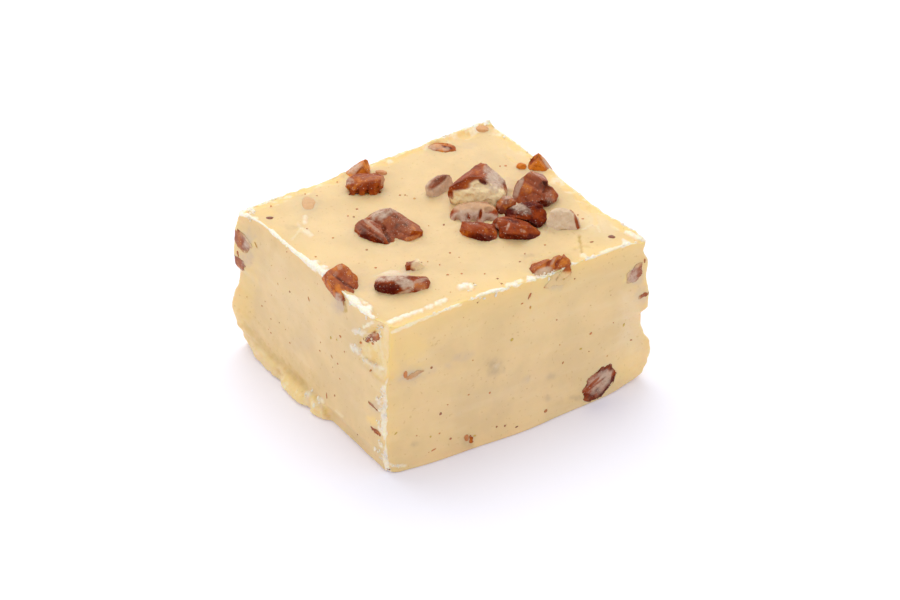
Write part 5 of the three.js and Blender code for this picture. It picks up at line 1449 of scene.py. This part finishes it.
class FUDGE_OT_specks(bpy.types.Operator):
    """Set the nut specks in the top and the sides, and dark sheets of painted shade between the nuts"""
    bl_idname = "fudge.set_specks"
    bl_label = "Nut specks"

    def execute(self, context):
        sizes = context.scene.fudge_sizes
        form = BlockForm(sizes)
        rng = np.random.default_rng(sizes.seed + 1)
        tree, shift, wanted = form.tree(), form.centring(), []
        for across, down, length, width, turn, tone in SPECKS_AND_SHADE:
            spot, normal, _, _ = tree.ray_cast(*photo_ray(across, down))
            if spot is not None:
                way = Vector(SIGHT_RIGHT) - normal * normal.dot(Vector(SIGHT_RIGHT))
                way.rotate(Matrix.Rotation(math.radians(turn), 3, normal))
                deep = width * (TOP_DEEPER if normal.z > 0.7 else 1)
                wanted.append(self.speck(spot, shift, normal, way, 0.8 * length, 0.8 * deep, tone))
        for normal, share in SPECK_SIDES:
            for _ in range(int(share * sizes.speck_count)):
                u, v = rng.uniform(-SPECK_SPREAD, SPECK_SPREAD, 2)
                start = Vector(normal) * SPECK_START
                first, second = (k for k in range(3) if not normal[k])
                start[first], start[second] = u, v if normal[2] else SIDE_MIDDLE + SIDE_SHARE * v
                spot, _, _, _ = tree.ray_cast(start, -Vector(normal))
                size = 0.8 + 2 * rng.random() ** 3
                length, tone = size * rng.uniform(1, 1.6), rng.uniform(0.15, 0.7)
                if spot is not None:
                    wanted.append(self.speck(spot, shift, normal, None, length, size, tone))
        points, triangles, tones = scatter(wanted, rng, lump_shapes(rng, SPECK_SHAPES))
        new_piece("nut_specks_and_shade", points, triangles.tolist(), speck_material(), {"tone": tones}, [])
        return {"FINISHED"}

    def speck(self, spot, shift, normal, way, length, width, tone):
        """A speck of a length and width in the photo's pixels, lying in the surface."""
        half = np.array((length, width)) / PHOTO_SCALE / 2
        return np.array(spot) + shift, normal, way, (*half, min(0.05 + 0.12 * half[1], 0.12)), tone


class FUDGE_OT_stage(bpy.types.Operator):
    """Set the pale floor, the soft light and the camera"""
    bl_idname = "fudge.set_stage"
    bl_label = "Stage"

    def execute(self, context):
        scene, look = context.scene, context.scene.fudge_stage
        self.lay_floor(scene, look)
        world = bpy.data.worlds.new("studio")
        world.use_nodes = True
        world.node_tree.nodes["Background"].inputs["Color"].default_value = (1, 1, 1, 1)
        world.node_tree.nodes["Background"].inputs["Strength"].default_value = look.sky
        scene.world = world
        lamp = bpy.data.lights.new("key", "AREA")
        lamp.energy = look.key_power
        lamp.shape = "DISK"
        lamp.size = KEY_SIZE
        turn = Vector(KEY_PLACE).to_track_quat("Z", "Y")
        self.stand(scene, "key", lamp, KEY_PLACE, turn)
        self.aim_camera(scene, look)
        scene.view_settings.view_transform = "Standard"
        scene.view_settings.look = "None"
        return {"FINISHED"}

    def lay_floor(self, scene, look):
        """Lays the floor under the square."""
        mesh = bpy.data.meshes.new("floor")
        corners = [(x * FLOOR_HALF, y * FLOOR_HALF, 0) for x, y in ((-1, -1), (1, -1), (1, 1), (-1, 1))]
        mesh.from_pydata(corners, [], [(0, 1, 2, 3)])
        shader = Shader("pale_floor")
        cloud = shader.between(shader.noise(400, 2.0), 0.3, 0.7)
        pale = Vector(look.floor)
        shader.join(shader.blend(cloud, pale * 0.998, pale), shader.surface.inputs["Base Color"])
        shader.set({"Roughness": 0.7, "Emission Color": (*look.floor_glow, 1.0), "Emission Strength": 1.0})
        mesh.materials.append(shader.material)
        floor = bpy.data.objects.new("floor", mesh)
        scene.collection.objects.link(floor)

    def aim_camera(self, scene, look):
        """Sets the camera where the photo was taken from."""
        shift = BlockForm(scene.fudge_sizes).centring()
        middle = Vector((shift[0], shift[1], SIGHT_HEIGHT)) * MM
        back = Vector((math.sin(look.azimuth) * math.cos(look.elevation),
                       -math.cos(look.azimuth) * math.cos(look.elevation), math.sin(look.elevation)))
        right = Vector((math.cos(look.azimuth), math.sin(look.azimuth), 0))
        up = back.cross(right)
        camera = bpy.data.cameras.new("camera")
        camera.sensor_width = SENSOR_WIDTH
        camera.lens = SENSOR_WIDTH / 2 / math.tan(look.field_of_view / 2)
        camera.clip_start, camera.clip_end = CLIP_RANGE
        place = middle + back * look.distance + right * look.aim[0] + up * look.aim[1]
        scene.camera = self.stand(scene, "camera", camera, place, (-back).to_track_quat("-Z", "Y"))

    def stand(self, scene, name, data, place, turn):
        """A light or camera set up at a place."""
        item = bpy.data.objects.new(name, data)
        item.location = place
        item.rotation_mode = "QUATERNION"
        item.rotation_quaternion = turn
        scene.collection.objects.link(item)
        return item


class FUDGE_PT_panel(bpy.types.Panel):
    """Sizes, colours and steps of the pecan fudge"""
    bl_idname = "FUDGE_PT_panel"
    bl_label = "Pecan Fudge"
    bl_space_type = "VIEW_3D"
    bl_region_type = "UI"
    bl_category = "Fudge"

    def draw(self, context):
        for group in (context.scene.fudge_sizes, context.scene.fudge_colours, context.scene.fudge_stage):
            box = self.layout.box()
            for key in group.__annotations__:
                box.prop(group, key)
        for operator in OPERATORS:
            self.layout.operator(operator.bl_idname)


OPERATORS = (FUDGE_OT_block, FUDGE_OT_pecans, FUDGE_OT_crumbs, FUDGE_OT_specks, FUDGE_OT_stage)
CLASSES = (FudgeSizes, FudgeColours, FudgeStage, *OPERATORS, FUDGE_PT_panel)


def register():
    for cls in CLASSES:
        bpy.utils.register_class(cls)
    bpy.types.Scene.fudge_sizes = bpy.props.PointerProperty(type=FudgeSizes)
    bpy.types.Scene.fudge_colours = bpy.props.PointerProperty(type=FudgeColours)
    bpy.types.Scene.fudge_stage = bpy.props.PointerProperty(type=FudgeStage)


def unregister():
    del bpy.types.Scene.fudge_stage
    del bpy.types.Scene.fudge_colours
    del bpy.types.Scene.fudge_sizes
    for cls in reversed(CLASSES):
        bpy.utils.unregister_class(cls)


def main():
    register()
    bpy.ops.fudge.make_block()
    bpy.ops.fudge.set_pecans()
    bpy.ops.fudge.scatter_crumbs()
    bpy.ops.fudge.set_specks()
    bpy.ops.fudge.set_stage()


if __name__ == "__main__":
    main()
